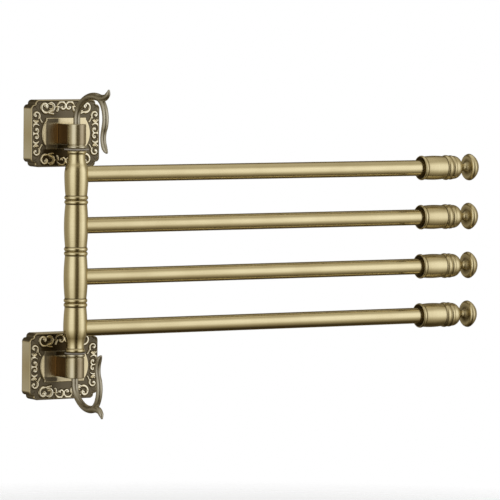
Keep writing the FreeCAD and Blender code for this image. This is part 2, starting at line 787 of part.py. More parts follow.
for side, height, flipped in ends:
    makeBracket(side + "_wall_bracket", height)
    makeFlange(side + "_flange", height)
    makePost(side + "_post", height, flipped, flangeFace)
    makeHook(side + "_hook", -postTop if flipped else postTop, flipped, sheet.get("upperHookTurn"))
makePostScrews((postCentre, -postCentre))
makeSetScrews((postCentre, -postCentre))
makeSpindle(spindleEnd)
makeWasher("upper_washer", washerLow, size("upperWasherRadius"))
makeWasher("lower_washer", -washerLow - size("washerHeight"), size("lowerWasherRadius"))

for arm in range(1, ARMS + 1):
    height = pitch * ((ARMS + 1) / 2 - arm)
    first, last = arm == 1, arm == ARMS
    makeSleeve("arm_%d_sleeve" % arm, height, first, last)
    makeBush("arm_%d_upper_bush" % arm, size("endSleeveRise") if first else seam, height, False)
    makeBush("arm_%d_lower_bush" % arm, size("endSleeveRise") if last else seam, height, True)
    makeTube("arm_%d_tube" % arm, height)
    makeEndPlug("arm_%d_end_plug" % arm, height)
    seat = makeFinialCap("arm_%d_finial_cap" % arm, height)
    makeFinialKnob("arm_%d_finial_knob" % arm, height, seat)

doc.recompute()
faults = [thing.Label for thing in doc.Objects if {"Invalid", "Error"} & set(thing.State)]
faults += [node.Label for node in nodes if node.Shape.isNull() or not node.Shape.isValid()]
if faults:
    raise RuntimeError("failed: " + ", ".join(faults))
os.makedirs("parts", exist_ok=True)
for node in nodes:
    node.Shape.exportStep("parts/%s.step" % node.Label)
    print(node.Label, len(node.Shape.Solids), round(node.Shape.Volume, 1))
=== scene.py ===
import math

import bpy
import numpy as np
from mathutils import Matrix


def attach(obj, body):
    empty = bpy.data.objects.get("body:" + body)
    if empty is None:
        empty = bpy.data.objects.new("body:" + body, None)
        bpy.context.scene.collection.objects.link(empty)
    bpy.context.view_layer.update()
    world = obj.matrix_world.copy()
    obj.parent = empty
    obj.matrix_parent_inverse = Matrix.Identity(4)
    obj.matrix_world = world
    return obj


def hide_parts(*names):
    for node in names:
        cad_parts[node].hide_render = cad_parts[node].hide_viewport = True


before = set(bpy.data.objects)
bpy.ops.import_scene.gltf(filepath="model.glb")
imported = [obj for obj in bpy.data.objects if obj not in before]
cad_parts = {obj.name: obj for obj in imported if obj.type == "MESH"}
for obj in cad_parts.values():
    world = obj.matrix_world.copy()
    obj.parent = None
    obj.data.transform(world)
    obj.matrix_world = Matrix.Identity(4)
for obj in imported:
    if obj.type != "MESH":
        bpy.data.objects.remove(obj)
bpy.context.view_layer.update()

# Looks of the four-arm swing towel bar. Dictionaries hold millimetres and degrees, apart from studio and
# cards, which hold metres and degrees; meshes hold metres. The wall is y = 0, the arms reach along +x at rest
# and the origin lies on the wall, half way between the two flanges.

mm = 0.001
column = {"standOff": 33.5, "armPitch": 41.2, "armCount": 4, "seamGap": 0.3}
columnAxis = np.array([0.0, -column["standOff"], 0.0])

# how profiles are drawn: spacing of their points, rounding of their corners and points round a turned piece.
# Crests and grooves are measured from the profile averaged over broadRun. What lies less than boreWall
# outside the smallest radius is the bore, and points within pole of the axis are left out
drawing = {"step": 0.16, "softening": 0.14, "segments": 96, "broadRun": 1.3, "boreWall": 1.5, "pole": 0.02}


def ramp(value, start, width):
    # 0 up to the start, rising to 1 over the width
    return np.clip((value - start) / width, 0, 1)


def gridFaces(rows, columns, closedRows=False):
    # a quad between neighbouring rows and columns. Columns close on themselves, rows only where asked
    row, place = np.meshgrid(np.arange(rows if closedRows else rows - 1), np.arange(columns), indexing="ij")
    beside, above = (place + 1) % columns, (row + 1) % rows
    return np.stack([row * columns + place, row * columns + beside,
                     above * columns + beside, above * columns + place], axis=-1).reshape(-1, 4)


def shell(grid, relief=None, closedRows=False):
    # grid[row, column] is a point in millimetres. Columns close on themselves; rows close too, or end
    # in a pole at the middle of the first and of the last row. A negative volume turns the faces over
    rows, columns = grid.shape[:2]
    points = grid.reshape(-1, 3)
    relief = np.zeros(rows * columns) if relief is None else np.asarray(relief, float).reshape(-1)
    quads = gridFaces(rows, columns, closedRows)
    triangles = np.zeros((0, 3), int)
    if not closedRows:
        place = np.arange(columns)
        beside = (place + 1) % columns
        last = (rows - 1) * columns
        poles = rows * columns + np.zeros(columns, int)
        triangles = np.concatenate([np.stack([beside, place, poles], axis=-1),
                                    np.stack([last + place, last + beside, poles + 1], axis=-1)])
        points = np.vstack([points, grid[0].mean(axis=0), grid[-1].mean(axis=0)])
        relief = np.append(relief, [relief[0], relief[last]])
    a, b, c, d = (points[quads[:, i]] for i in range(4))
    volume = np.einsum("ij,ij->", a, np.cross(b, c)) + np.einsum("ij,ij->", a, np.cross(c, d))
    if volume < 0:
        quads, triangles = quads[:, ::-1], triangles[:, ::-1]
    return points, quads, triangles, relief


def piece(name, shells, body, slot, replaced):
    # puts the shells into one mesh, gives it its body and the finish of its slot, and hides the CAD node that
    # it stands for
    points = np.concatenate([part[0] for part in shells])
    offsets = np.cumsum([0] + [len(part[0]) for part in shells[:-1]])
    quads = np.concatenate([part[1] + offset for part, offset in zip(shells, offsets)])
    triangles = np.concatenate([part[2] + offset for part, offset in zip(shells, offsets)])
    relief = np.concatenate([part[3] for part in shells])
    corners = np.concatenate([quads.reshape(-1), triangles.reshape(-1)]).astype(np.int32)
    sizes = np.concatenate([np.full(len(quads), 4), np.full(len(triangles), 3)])
    starts = np.concatenate([[0], np.cumsum(sizes)[:-1]]).astype(np.int32)
    mesh = bpy.data.meshes.new(name)
    mesh.vertices.add(len(points))
    mesh.vertices.foreach_set("co", (points * mm).astype(np.float32).ravel())
    mesh.loops.add(len(corners))
    mesh.loops.foreach_set("vertex_index", corners)
    mesh.polygons.add(len(sizes))
    mesh.polygons.foreach_set("loop_start", starts)
    mesh.polygons.foreach_set("use_smooth", np.ones(len(sizes), bool))
    mesh.attributes.new("relief", "FLOAT", "POINT").data.foreach_set("value", relief.astype(np.float32))
    mesh.update(calc_edges=True)
    mesh.validate()
    mesh.materials.append(finishes[slot])
    thing = bpy.data.objects.new(name, mesh)
    bpy.context.scene.collection.objects.link(thing)
    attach(thing, body)
    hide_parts(replaced)


def arc(start, end, bend, side, step):
    # points along the circle of radius bend from start to end, bulging to the left (side 1) or right
    start, end = np.array(start, float), np.array(end, float)
    chord = end - start
    length = np.hypot(*chord)
    left = np.array([-chord[1], chord[0]]) / length
    half = math.asin(min(length / 2 / bend, 1.0))
    centre = (start + end) / 2 - left * side * bend * math.cos(half)
    count = max(int(2 * half * bend / step), 3)
    first = math.atan2(*(start - centre)[::-1])
    angle = first - side * np.linspace(0, 2 * half, count, endpoint=False)
    return centre + bend * np.stack([np.cos(angle), np.sin(angle)], axis=-1)


def traced(corners, closed=False, step=drawing["step"]):
    # outline through corners (x, y), or (x, y, bend, side) where an arc starts, as closely spaced points
    pieces = []
    count = len(corners)
    for i in range(count if closed else count - 1):
        here, after = corners[i], corners[(i + 1) % count]
        if len(here) > 2:
            pieces.append(arc(here[:2], after[:2], here[2], here[3], step))
        else:
            length = math.hypot(after[0] - here[0], after[1] - here[1])
            share = np.linspace(0, 1, max(int(length / step), 1), endpoint=False)[:, None]
            pieces.append(np.array(here[:2], float) * (1 - share) + np.array(after[:2], float) * share)
    if not closed:
        pieces.append(np.array([corners[-1][:2]], float))
    return np.concatenate(pieces)


def softened(outline, reach, closed=False):
    # averages neighbouring points with a bell-shaped weight about `reach` millimetres wide, which rounds
    # every corner to the inside; open outlines keep their two ends
    count = len(outline)
    step = np.hypot(*np.diff(outline, axis=0).T).mean()
    span = int(math.ceil(3 * reach / step))
    weight = np.exp(-0.5 * (np.arange(-span, span + 1) * step / reach) ** 2)
    weight /= weight.sum()
    if closed:
        padded = outline[np.arange(-span, count + span) % count]
    else:
        before = 2 * outline[0] - outline[span:0:-1]
        after = 2 * outline[-1] - outline[-2:-span - 2:-1]
        padded = np.concatenate([before, outline, after])
    return np.stack([np.convolve(padded[:, i], weight, "valid") for i in (0, 1)], axis=-1)


def turnedShell(corners, axis, centre, closed=False, softening=drawing["softening"], mirrored=False):
    # solid of revolution: the profile (along, radius) carried round the axis, point = centre + along * axis
    # + radius * (cos t, sin t) across it. Relief is how far each point stands above (+) or below (-) the
    # broad run of its profile, in millimetres, and 0 in a bore
    profile = softened(traced(corners, closed), softening, closed)
    if closed:
        outside = profile[:, 1] > profile[:, 1].min() + drawing["boreWall"]
    else:
        outside = np.ones(len(profile), bool)
    relief = np.zeros(len(profile))
    relief[outside] = profile[outside, 1] - softened(profile[outside], drawing["broadRun"])[:, 1]
    if not closed:
        # points at the axis go, and the others take the relief of the sample that follows
        kept = profile[:, 1] > drawing["pole"]
        profile, relief = profile[kept], relief[-kept.sum():]
    turn = np.linspace(0, 2 * math.pi, drawing["segments"], endpoint=False)
    first, second = {"x": (1, 2), "z": (0, 1)}[axis]
    grid = np.zeros((len(profile), len(turn), 3))
    grid[..., "xyz".index(axis)] = -profile[:, :1] if mirrored else profile[:, :1]
    grid[..., first] = profile[:, 1:2] * np.cos(turn)
    grid[..., second] = profile[:, 1:2] * np.sin(turn)
    return grid + np.asarray(centre), np.repeat(relief[:, None], len(turn), axis=1)


# finishes

def fill(tree, socket, value):
    # links another node's socket, or sets a plain value
    if isinstance(value, bpy.types.NodeSocket):
        tree.links.new(value, socket)
    else:
        socket.default_value = value


def shaderNode(tree, kind, filled=None, **settings):
    # adds a node; filled gives its inputs, by name or index, a socket or a plain value
    made = tree.nodes.new(kind)
    for key, value in settings.items():
        setattr(made, key, value)
    for key, value in (filled or {}).items():
        fill(tree, made.inputs[key], value)
    return made


def arithmetic(tree, operation, first, second, clamp=False):
    made = shaderNode(tree, "ShaderNodeMath", {0: first, 1: second}, operation=operation, use_clamp=clamp)
    return made.outputs[0]


def plus(tree, first, second, clamp=False):
    return arithmetic(tree, "ADD", first, second, clamp)


def times(tree, first, second):
    return arithmetic(tree, "MULTIPLY", first, second)


def mixedColour(tree, factor, first, second):
    made = shaderNode(tree, "ShaderNodeMix", data_type="RGBA")
    for name, value in (("Factor", factor), ("A", first), ("B", second)):
        fill(tree, [one for one in made.inputs if one.name == name and one.enabled][0], value)
    return [one for one in made.outputs if one.enabled][0]


def ranged(tree, value, low, high, most=1.0):
    # 0 up to low, rising smoothly to most at high
    made = shaderNode(tree, "ShaderNodeMapRange",
                      {"Value": value, "From Min": low, "From Max": high, "To Min": 0.0, "To Max": most},
                      interpolation_type="SMOOTHSTEP")
    return made.outputs[0]


def noise(tree, vector, scale, detail, roughness=0.5):
    made = shaderNode(tree, "ShaderNodeTexNoise",
                      {"Vector": vector, "Scale": scale, "Detail": detail, "Roughness": roughness})
    return made.outputs[0]


def newGroup(name, inputs):
    # empty node group with these inputs, which puts out a colour, a roughness and a height
    tree = bpy.data.node_groups.new(name, "ShaderNodeTree")
    for label, kind in inputs:
        tree.interface.new_socket(label, in_out="INPUT", socket_type="NodeSocket" + kind)
    for label, kind in (("Color", "Color"), ("Roughness", "Float"), ("Height", "Float")):
        tree.interface.new_socket(label, in_out="OUTPUT", socket_type="NodeSocket" + kind)
    return tree, tree.nodes.new("NodeGroupInput").outputs, tree.nodes.new("NodeGroupOutput").inputs


def makeBrushedGroup():
    # scratches as close along each axis as the stroke says, slow cloudy tarnish and fine specks, all from
    # Object coordinates; patina in the grooves, bright crests and the pieces' painted shade and light come
    # from the relief
    tree, given, result = newGroup("brushedMetal", [
        ("Coordinates", "Vector"), ("Stroke", "Vector"), ("Relief", "Float"), ("Bright", "Color"),
        ("Tarnish", "Color"), ("Patina", "Color"), ("Crest", "Color"), ("Deep", "Color"),
        ("Tarnish Amount", "Float"), ("Base Roughness", "Float")])
    stretched = shaderNode(tree, "ShaderNodeVectorMath", {0: given["Coordinates"], 1: given["Stroke"]},
                           operation="MULTIPLY").outputs[0]
    scratches = noise(tree, stretched, 1.0, 3.0, 0.6)
    clouds = noise(tree, given["Coordinates"], 38.0, 3.0)
    specks = noise(tree, given["Coordinates"], 2600.0, 2.0)
    # grooves hold patina and painted shade: the deeper below the broad run, the darker, broken up by the
    # clouds
    depth = times(tree, given["Relief"], -1.0)
    uneven = times(tree, arithmetic(tree, "SUBTRACT", clouds, 0.5), 0.12)
    patinaAndShade = ranged(tree, plus(tree, depth, uneven), 0.05, 0.40, 0.94)
    # crests are rubbed clean of part of the tarnish
    clean = ranged(tree, given["Relief"], 0.1, 0.6, 0.35)
    tarnish = times(tree, ranged(tree, clouds, 0.38, 0.68), given["Tarnish Amount"])
    tarnish = times(tree, tarnish, arithmetic(tree, "SUBTRACT", 1.0, clean))
    tarnish = plus(tree, tarnish, times(tree, ranged(tree, scratches, 0.35, 0.7), 0.30), clamp=True)
    worn = mixedColour(tree, tarnish, given["Bright"], given["Tarnish"])
    worn = mixedColour(tree, patinaAndShade, worn, given["Patina"])
    # raised ornament takes the crest's colour, and the deepest corners a darker one than the patina
    # painted light counts as raised here, and the deepest painted shade as a deepest corner
    worn = mixedColour(tree, ranged(tree, given["Relief"], 0.0, 0.45), worn, given["Crest"])
    worn = mixedColour(tree, ranged(tree, depth, 0.5, 0.85), worn, given["Deep"])
    tree.links.new(worn, result["Color"])
    rough = given["Base Roughness"]
    for cause, share in ((scratches, 0.06), (patinaAndShade, 0.20), (specks, 0.04)):
        rough = plus(tree, rough, times(tree, cause, share))
    tree.links.new(rough, result["Roughness"])
    tree.links.new(plus(tree, scratches, times(tree, specks, 0.15)), result["Height"])
    return tree


def makeGrainGroup(shadeTone):
    # sandy grain of plated steel and moulded nylon: two noises of different size, and painted shade, darker
    # and rougher, where the relief is below 0
    tree, given, result = newGroup("fineGrain", [
        ("Coordinates", "Vector"), ("Relief", "Float"), ("Light", "Color"), ("Dark", "Color"),
        ("Grain Scale", "Float"), ("Base Roughness", "Float")])
    grain = noise(tree, given["Coordinates"], given["Grain Scale"], 3.0)
    stains = noise(tree, given["Coordinates"], 80.0, 4.0)
    mixed = plus(tree, times(tree, ranged(tree, stains, 0.35, 0.7), 0.6), times(tree, grain, 0.4), clamp=True)
    paintedShadeMask = ranged(tree, times(tree, given["Relief"], -1.0), 0.0, 1.0, 0.9)
    clean = mixedColour(tree, mixed, given["Light"], given["Dark"])
    tree.links.new(mixedColour(tree, paintedShadeMask, clean, (*shadeTone, 1.0)), result["Color"])
    rough = plus(tree, given["Base Roughness"], times(tree, grain, 0.15))
    tree.links.new(plus(tree, rough, times(tree, paintedShadeMask, 0.45), clamp=True), result["Roughness"])
    tree.links.new(grain, result["Height"])
    return tree


brushedMetal = makeBrushedGroup()
fineGrain = makeGrainGroup(shadeTone=(0.03, 0.025, 0.015))
bumpDistance = 0.0002


def groupInMaterial(name, group, values, metallic, bumpStrength):
    # one material around one placed group: colour, roughness and bump come from the group
    material = bpy.data.materials.new(name)
    material.use_nodes = True
    tree = material.node_tree
    tree.nodes.clear()
    coordinates = shaderNode(tree, "ShaderNodeTexCoord").outputs["Object"]
    relief = shaderNode(tree, "ShaderNodeAttribute", attribute_name="relief").outputs["Fac"]
    placed = shaderNode(tree, "ShaderNodeGroup", {"Coordinates": coordinates, "Relief": relief, **values},
                        node_tree=group)
    bump = shaderNode(tree, "ShaderNodeBump", {"Strength": bumpStrength, "Distance": bumpDistance,
                                               "Height": placed.outputs["Height"]})
    shader = shaderNode(tree, "ShaderNodeBsdfPrincipled", {
        "Base Color": placed.outputs["Color"], "Metallic": metallic, "Roughness": placed.outputs["Roughness"],
        "Normal": bump.outputs[0]})
    shaderNode(tree, "ShaderNodeOutputMaterial", {"Surface": shader.outputs[0]})
    return material


# colours of the brass, and strokes: how closely scratches lie along x, y and z, per metre
# the patina colours also colour the painted shade that pieces carry in their relief, the crest colours their
# painted light
brassLook = {
    "bright": (0.76, 0.66, 0.40), "tarnish": (0.60, 0.50, 0.28), "patinaAndShade": (0.085, 0.060, 0.030),
    "hookBright": (0.54, 0.50, 0.39), "hookTarnish": (0.36, 0.32, 0.24),
    "flangeBright": (0.84, 0.73, 0.48), "scrollBright": (0.96, 0.90, 0.72),
    "fieldPatinaAndShade": (0.120, 0.098, 0.066), "flangeDeep": (0.050, 0.034, 0.014),
    "postBright": (0.64, 0.58, 0.42), "postPatinaAndShade": (0.150, 0.072, 0.015),
    "acrossZ": (60.0, 60.0, 4200.0), "acrossX": (4200.0, 60.0, 60.0), "alongX": (25.0, 2600.0, 2600.0),
    "alongZ": (3000.0, 3000.0, 60.0), "allWays": (1500.0, 1500.0, 1500.0),
}


def brass(name, stroke, bright="bright", tarnish="tarnish", patinaAndShade="patinaAndShade", crest=None, deep=None,
          amount=0.3, roughness=0.15, strength=0.004):
    chosen = {"Bright": bright, "Tarnish": tarnish, "Patina": patinaAndShade, "Crest": crest or bright,
              "Deep": deep or patinaAndShade}
    values = {label: (*brassLook[key], 1.0) for label, key in chosen.items()}
    values.update({"Stroke": brassLook[stroke], "Tarnish Amount": amount, "Base Roughness": roughness})
    return groupInMaterial(name, brushedMetal, values, 1.0, strength)


def plain(name, light, dark, scale, roughness, metallic, strength):
    values = {"Light": (*light, 1.0), "Dark": (*dark, 1.0), "Grain Scale": scale, "Base Roughness": roughness}
    return groupInMaterial(name, fineGrain, values, metallic, strength)


finishes = {
    "sleeve_brass": brass("sleeveBrass", "acrossZ"),
    "tube_brass": brass("tubeBrass", "alongX", roughness=0.16),
    "finial_brass": brass("finialBrass", "acrossX", roughness=0.23),
    "post_brass": brass("postBrass", "alongZ", "postBright", patinaAndShade="postPatinaAndShade", roughness=0.17),
    "hook_brass": brass("hookBrass", "allWays", "hookBright", "hookTarnish", amount=0.6, roughness=0.29,
                        strength=0.002),
    "flange_brass": brass("flangeBrass", "alongZ", "flangeBright", patinaAndShade="fieldPatinaAndShade", crest="scrollBright",
                          deep="flangeDeep", roughness=0.17, strength=0.002),
    "plug_brass": brass("plugBrass", "acrossX", roughness=0.30),
    "spindle_steel": plain("spindleSteel", (0.62, 0.62, 0.60), (0.42, 0.42, 0.41), 2500.0, 0.22, 1.0, 0.05),
    "bracket_steel": plain("bracketSteel", (0.66, 0.66, 0.63), (0.45, 0.45, 0.43), 1200.0, 0.34, 1.0, 0.15),
    "screw_steel": plain("screwSteel", (0.30, 0.29, 0.27), (0.16, 0.155, 0.15), 2500.0, 0.32, 1.0, 0.10),
    "bush_nylon": plain("bushNylon", (0.72, 0.70, 0.64), (0.60, 0.58, 0.52), 1800.0, 0.45, 0.0, 0.06),
    # the washers get a darker nylon than the bushes: painted shade in the gaps between end sleeves and post
    # rings
    "washer_nylon": plain("shadedWasherNylon", (0.36, 0.32, 0.265), (0.24, 0.21, 0.165), 1800.0, 0.42, 0.0, 0.06),
}
print("finishes:", len(finishes))


# sleeves of the column. The last three are how strongly relief counts, and the depth and width of the line
# of patina round the arm

sleeve = {
    "belly": 9.7, "neck": 8.8, "ring": 9.3, "ringHeight": 3.3, "endNeck": 7.15, "endRing": 7.85,
    "endRingHeight": 2.9, "endShoulder": 8.45, "endShoulderRise": 7.2, "endRise": 19.25, "ringSink": 0.6,
    "ringBend": 0.62, "bellyBend": 165.0, "endShoulderBend": 18.7, "endBellyBend": 21.6, "bore": 4.6,
    "tube": 6.6, "reliefGain": 1.8, "jointPatina": 0.3, "jointWidth": 0.35,
}


def ringedEnd(end, ring, height, neck):
    # neck, then the foot and the crest of a rounded ring that ends at the sleeve's face
    sink = sleeve["ringSink"]
    return [(end - height - sink / 2, neck), (end - height, ring - sink, height * sleeve["ringBend"], 1),
            (end, ring - sink)]


def sleeveProfile(endSleeve):
    # closed outline (along the axis, radius) from the lower face over the belly to the upper face and down
    # the bore; an end sleeve runs in over a shoulder to a slimmer neck
    seam = (column["armPitch"] - column["seamGap"]) / 2
    upper = ringedEnd(seam, sleeve["ring"], sleeve["ringHeight"], sleeve["neck"])
    lower = [(-seam, upper[2][1]) + upper[1][2:], (-upper[1][0], upper[1][1]),
             (-upper[0][0], sleeve["neck"], sleeve["bellyBend"], 1)]
    swell = (sleeve["bellyBend"], 1)
    if endSleeve:
        far = ringedEnd(sleeve["endRise"], sleeve["endRing"], sleeve["endRingHeight"], sleeve["endNeck"])
        upper = [(sleeve["endShoulderRise"], sleeve["endShoulder"], sleeve["endShoulderBend"], -1)] + far
        swell = (sleeve["endBellyBend"], 1)
    bore = [(upper[-1][0], sleeve["bore"]), (-seam, sleeve["bore"])]
    return lower + [(0.0, sleeve["belly"]) + swell] + upper + bore


def makeSleeve(arm, height):
    centre = columnAxis + [0, 0, height]
    grid, relief = turnedShell(sleeveProfile(arm in (1, column["armCount"])), "z", centre, closed=True,
                               mirrored=arm == column["armCount"])
    # a dark line of patina round the arm, where it enters the sleeve
    side = grid - centre
    fromArm = np.hypot(side[..., 1], side[..., 2])
    joint = np.exp(-((fromArm - sleeve["tube"]) / sleeve["jointWidth"]) ** 2) * (side[..., 0] > 0)
    relief = sleeve["reliefGain"] * relief - sleeve["jointPatina"] * joint
    piece("arm%dSleeve" % arm, [shell(grid, relief, True)], "arm_%d" % arm, "sleeve_brass",
          "arm_%d_sleeve" % arm)


# arm tubes. rings counts the evenly spaced ones; edge and firstRing are how far the next ring and the first
# of these lie from the tube's end

tube = {"radius": 6.6, "wall": 1.0, "start": 7.05, "end": 344.35, "rings": 60, "edge": 0.02,
        "firstRing": 0.05}


def makeTube(arm, height):
    # pipe along x with its ends inside the sleeve and the finial: along the outside and back through the bore
    start, end = tube["start"], tube["end"]
    rings = np.linspace(start + tube["firstRing"], end - tube["firstRing"], tube["rings"])
    rings = np.concatenate([[start, start + tube["edge"]], rings, [end - tube["edge"], end]])
    along = np.concatenate([rings, rings[::-1]])[:, None]
    radius = np.repeat([tube["radius"], tube["radius"] - tube["wall"]], len(rings))[:, None]
    turn = np.linspace(0, 2 * math.pi, drawing["segments"], endpoint=False)
    grid = np.stack([np.repeat(along, len(turn), axis=1), radius * np.cos(turn), radius * np.sin(turn)],
                    axis=-1)
    grid = grid + columnAxis + [0, 0, height]
    piece("arm%dTube" % arm, [shell(grid, None, True)], "arm_%d" % arm, "tube_brass", "arm_%d_tube" % arm)


# finials

cap = {
    "start": 324.4, "socket": 20.0, "collar": 10.4, "collarLength": 2.6, "collarBend": 1.95,
    "collarEdge": 0.5, "recess": 2.2, "ringSink": 0.6, "collarGroove": 9.25, "barrel": 10.1, "barrelEnd": 9.6,
    "barrelLength": 18.6, "barrelBend": 94.0, "groove": 0.9, "firstLength": 4.4, "firstBend": 3.6,
    "secondLength": 3.1, "secondBend": 2.5, "ringGap": 0.6, "ringGroove": 9.7, "domeLength": 6.9,
    "domeBend": 6.5, "seat": 4.4, "bore": 6.65, "stud": 2.55, "softening": 0.12, "reliefGain": 0.9,
    "hollowShadeDepth": 0.48,
}
knob = {
    "seatBend": 5.0, "neck": 3.1, "neckLength": 4.5, "flareLength": 2.7, "flareBend": 5.0, "back": 8.6,
    "shoulderLength": 3.0, "shoulderBend": 3.0, "radius": 11.3, "noseLength": 7.1, "stud": 2.5,
    "studLength": 22.0, "softening": 0.45, "reliefGain": 0.15, "backShadeDepth": 0.20,
}


def makeFinial(arm, height):
    # cap: hollow collar, bellied barrel, two rings and a dome; knob: slim neck and mushroom head
    back = cap["start"]
    collarEnd = back + cap["collarLength"]
    barrelStart = collarEnd + cap["groove"]
    middle = barrelStart + cap["barrelLength"] / 2
    barrelEnd = barrelStart + cap["barrelLength"]
    firstStart = barrelEnd + cap["groove"]
    firstEnd = firstStart + cap["firstLength"]
    secondStart = firstEnd + cap["ringGap"]
    secondEnd = secondStart + cap["secondLength"]
    domeStart = secondEnd + cap["ringGap"]
    seat = domeStart + cap["domeLength"]
    floor = back + cap["socket"]
    lip = cap["collar"] - cap["ringSink"]
    foot, groove = cap["ringGroove"], cap["collarGroove"]
    corners = [
        (back + cap["recess"], cap["bore"]), (back, lip - cap["collarEdge"]),
        (back, lip, cap["collarBend"], 1), (collarEnd, lip), (collarEnd, groove), (barrelStart, groove),
        (barrelStart, cap["barrelEnd"], cap["barrelBend"], 1), (middle, cap["barrel"], cap["barrelBend"], 1),
        (barrelEnd, cap["barrelEnd"]), (barrelEnd, groove), (firstStart, groove),
        (firstStart, foot, cap["firstBend"], 1), (firstEnd, foot),
        (secondStart, foot, cap["secondBend"], 1), (secondEnd, foot),
        (domeStart, foot, cap["domeBend"], 1), (seat, cap["seat"]), (seat, cap["stud"]),
        (floor, cap["stud"]), (floor, cap["bore"]),
    ]
    centre = columnAxis + [0, 0, height]
    body = "arm_%d" % arm
    grid, relief = turnedShell(corners, "x", centre, closed=True, softening=cap["softening"])
    # painted shade in the collar's hollow back
    fromAxis = np.hypot(grid[..., 1] - centre[1], grid[..., 2] - centre[2])
    hollow = ramp(-fromAxis, 0.1 - lip, 0.4) * (grid[..., 0] < back + cap["recess"] + 0.3)
    relief = cap["reliefGain"] * relief - cap["hollowShadeDepth"] * hollow
    piece("arm%dFinialCap" % arm, [shell(grid, relief, True)], body, "finial_brass", body + "_finial_cap")
    neckEnd = seat + knob["neckLength"]
    backRim = neckEnd + knob["flareLength"]
    widest = backRim + knob["shoulderLength"]
    nose, radius = knob["noseLength"], knob["radius"]
    noseBend = (radius ** 2 + nose ** 2) / (nose * 2)
    studEnd = seat - knob["studLength"]
    corners = [
        (studEnd, 0.0), (studEnd, knob["stud"]), (seat, knob["stud"]),
        (seat, cap["seat"], knob["seatBend"], -1), (neckEnd, knob["neck"], knob["flareBend"], -1),
        (backRim, knob["back"], knob["shoulderBend"], 1), (widest, radius, noseBend, 1), (widest + nose, 0.0),
    ]
    grid, relief = turnedShell(corners, "x", centre, softening=knob["softening"])
    # painted shade behind the knob's head, strongest next to the neck
    fromAxis = np.hypot(grid[..., 1] - centre[1], grid[..., 2] - centre[2])
    paintedShade = ramp(-grid[..., 0], 1.0 - widest, 1.5) * ramp(grid[..., 0], neckEnd, 1.0)
    paintedShade = knob["backShadeDepth"] * paintedShade * ramp(-fromAxis, -radius - 1.0, 5.0)
    piece("arm%dFinialKnob" % arm, [shell(grid, knob["reliefGain"] * relief - paintedShade)], body, "finial_brass",
          body + "_finial_knob")


# posts and washers. A post's last three values are the depth of painted shade on the stem's sides, that
# of painted shade on the barrel, and where the barrel's painted shade starts in x, seen from its axis

post = {
    "centre": 93.65, "radius": 7.45, "height": 16.2, "edge": 0.5, "back": 15.62, "groove": 0.7, "ring": 7.95,
    "ringHeight": 2.7, "ringFoot": 0.2, "bore": 3.05, "softening": 0.12, "reliefGain": 1.8,
    "faceInsets": (1.6, 4.0), "stemShadeDepth": 0.45, "barrelShadeDepth": 0.22, "barrelShadeFromX": -3.2,
}
# a washer's last value is the depth of painted shade on the lower one
washer = {"height": 0.9, "foot": 81.25, "bore": 3.05, "upper": 9.9, "lower": 8.4, "softening": 0.10,
          "lowerShadeDepth": 1.0}


def makePost(side, sign):
    # barrel and square stem in one: the plan is a U, straight sides closed by half a circle, drawn in by
    # the edge's rounding at top and bottom
    half, edge = post["height"] / 2, post["edge"]
    reach = column["standOff"] - post["back"]
    upper = [(half - edge * (1 - math.sin(turn)), edge * (1 - math.cos(turn)))
             for turn in np.linspace(0, math.pi / 2, 6)]
    upper += [(half, inset) for inset in post["faceInsets"]]
    between = [(level, 0.0) for level in np.linspace(edge - half, half - edge, 14)[1:-1]]
    turn = np.linspace(0, math.pi, 49)
    rows = []
    for level, inset in [(-level, inset) for level, inset in reversed(upper)] + between + upper:
        radius = post["radius"] - inset
        bow = np.stack([radius * np.cos(turn), -radius * np.sin(turn)], axis=-1)
        deep = np.linspace(0, reach - inset, 12)[1:]
        left = np.stack([np.full(len(deep), -radius), deep], axis=-1)
        wide = np.linspace(-radius, radius, 14)[1:-1]
        backEdge = np.stack([wide, np.full(len(wide), reach - inset)], axis=-1)
        plan = np.concatenate([bow, left, backEdge, left[::-1] * [-1, 1]])
        rows.append(np.concatenate([plan, np.full((len(plan), 1), level)], axis=-1))
    block = np.stack(rows)
    # painted shade on the stem's sides, from just behind the barrel's axis to the flange
    paintedShade = post["stemShadeDepth"] * ramp(block[..., 1], 1.0, 1.5) * (np.abs(block[..., 2]) < half - 0.2)
    # and, thinner, painted shade on the barrel's front and on its side towards the arms' tips
    paintedBarrelShade = post["barrelShadeDepth"] * ramp(block[..., 0], post["barrelShadeFromX"], 1.5) * (block[..., 1] < 0)
    centre = columnAxis + [0, 0, sign * post["centre"]]
    ringStart = half + post["groove"]
    ringEnd = ringStart + post["ringHeight"]
    lip = post["ring"] - sleeve["ringSink"]
    neck, foot = post["radius"] - edge, post["ringFoot"] - half
    corners = [(-ringEnd, post["bore"]), (-ringEnd, lip, post["ringHeight"] * sleeve["ringBend"], 1),
               (-ringStart, lip), (-ringStart, neck), (foot, neck), (foot, post["bore"])]
    ring, relief = turnedShell(corners, "z", centre, closed=True, softening=post["softening"],
                               mirrored=sign < 0)
    shells = [shell(block + centre, -paintedShade - paintedBarrelShade), shell(ring, post["reliefGain"] * relief, True)]
    piece(side + "Post", shells, "wall_column", "post_brass", side + "_post")


def makeWasher(side, sign):
    # flat ring; the lower one gets painted shade all over
    foot, outer = washer["foot"], washer[side]
    top = foot + washer["height"]
    corners = [(foot, washer["bore"]), (foot, outer), (top, outer), (top, washer["bore"])]
    grid, relief = turnedShell(corners, "z", columnAxis, closed=True, softening=washer["softening"],
                               mirrored=sign < 0)
    relief = relief - washer["lowerShadeDepth"] * (sign < 0)
    piece(side + "Washer", [shell(grid, relief, True)], "wall_column", "washer_nylon", side + "_washer")


# hooks. A move is the length of a straight run or the radius of an arc, its turn (0 is a straight run) and
# the rod's radius at its end; a negative turn goes forwards and down. The trunk starts sink below the
# barrel's top, and the tail where the trunk ends and the horn goes on

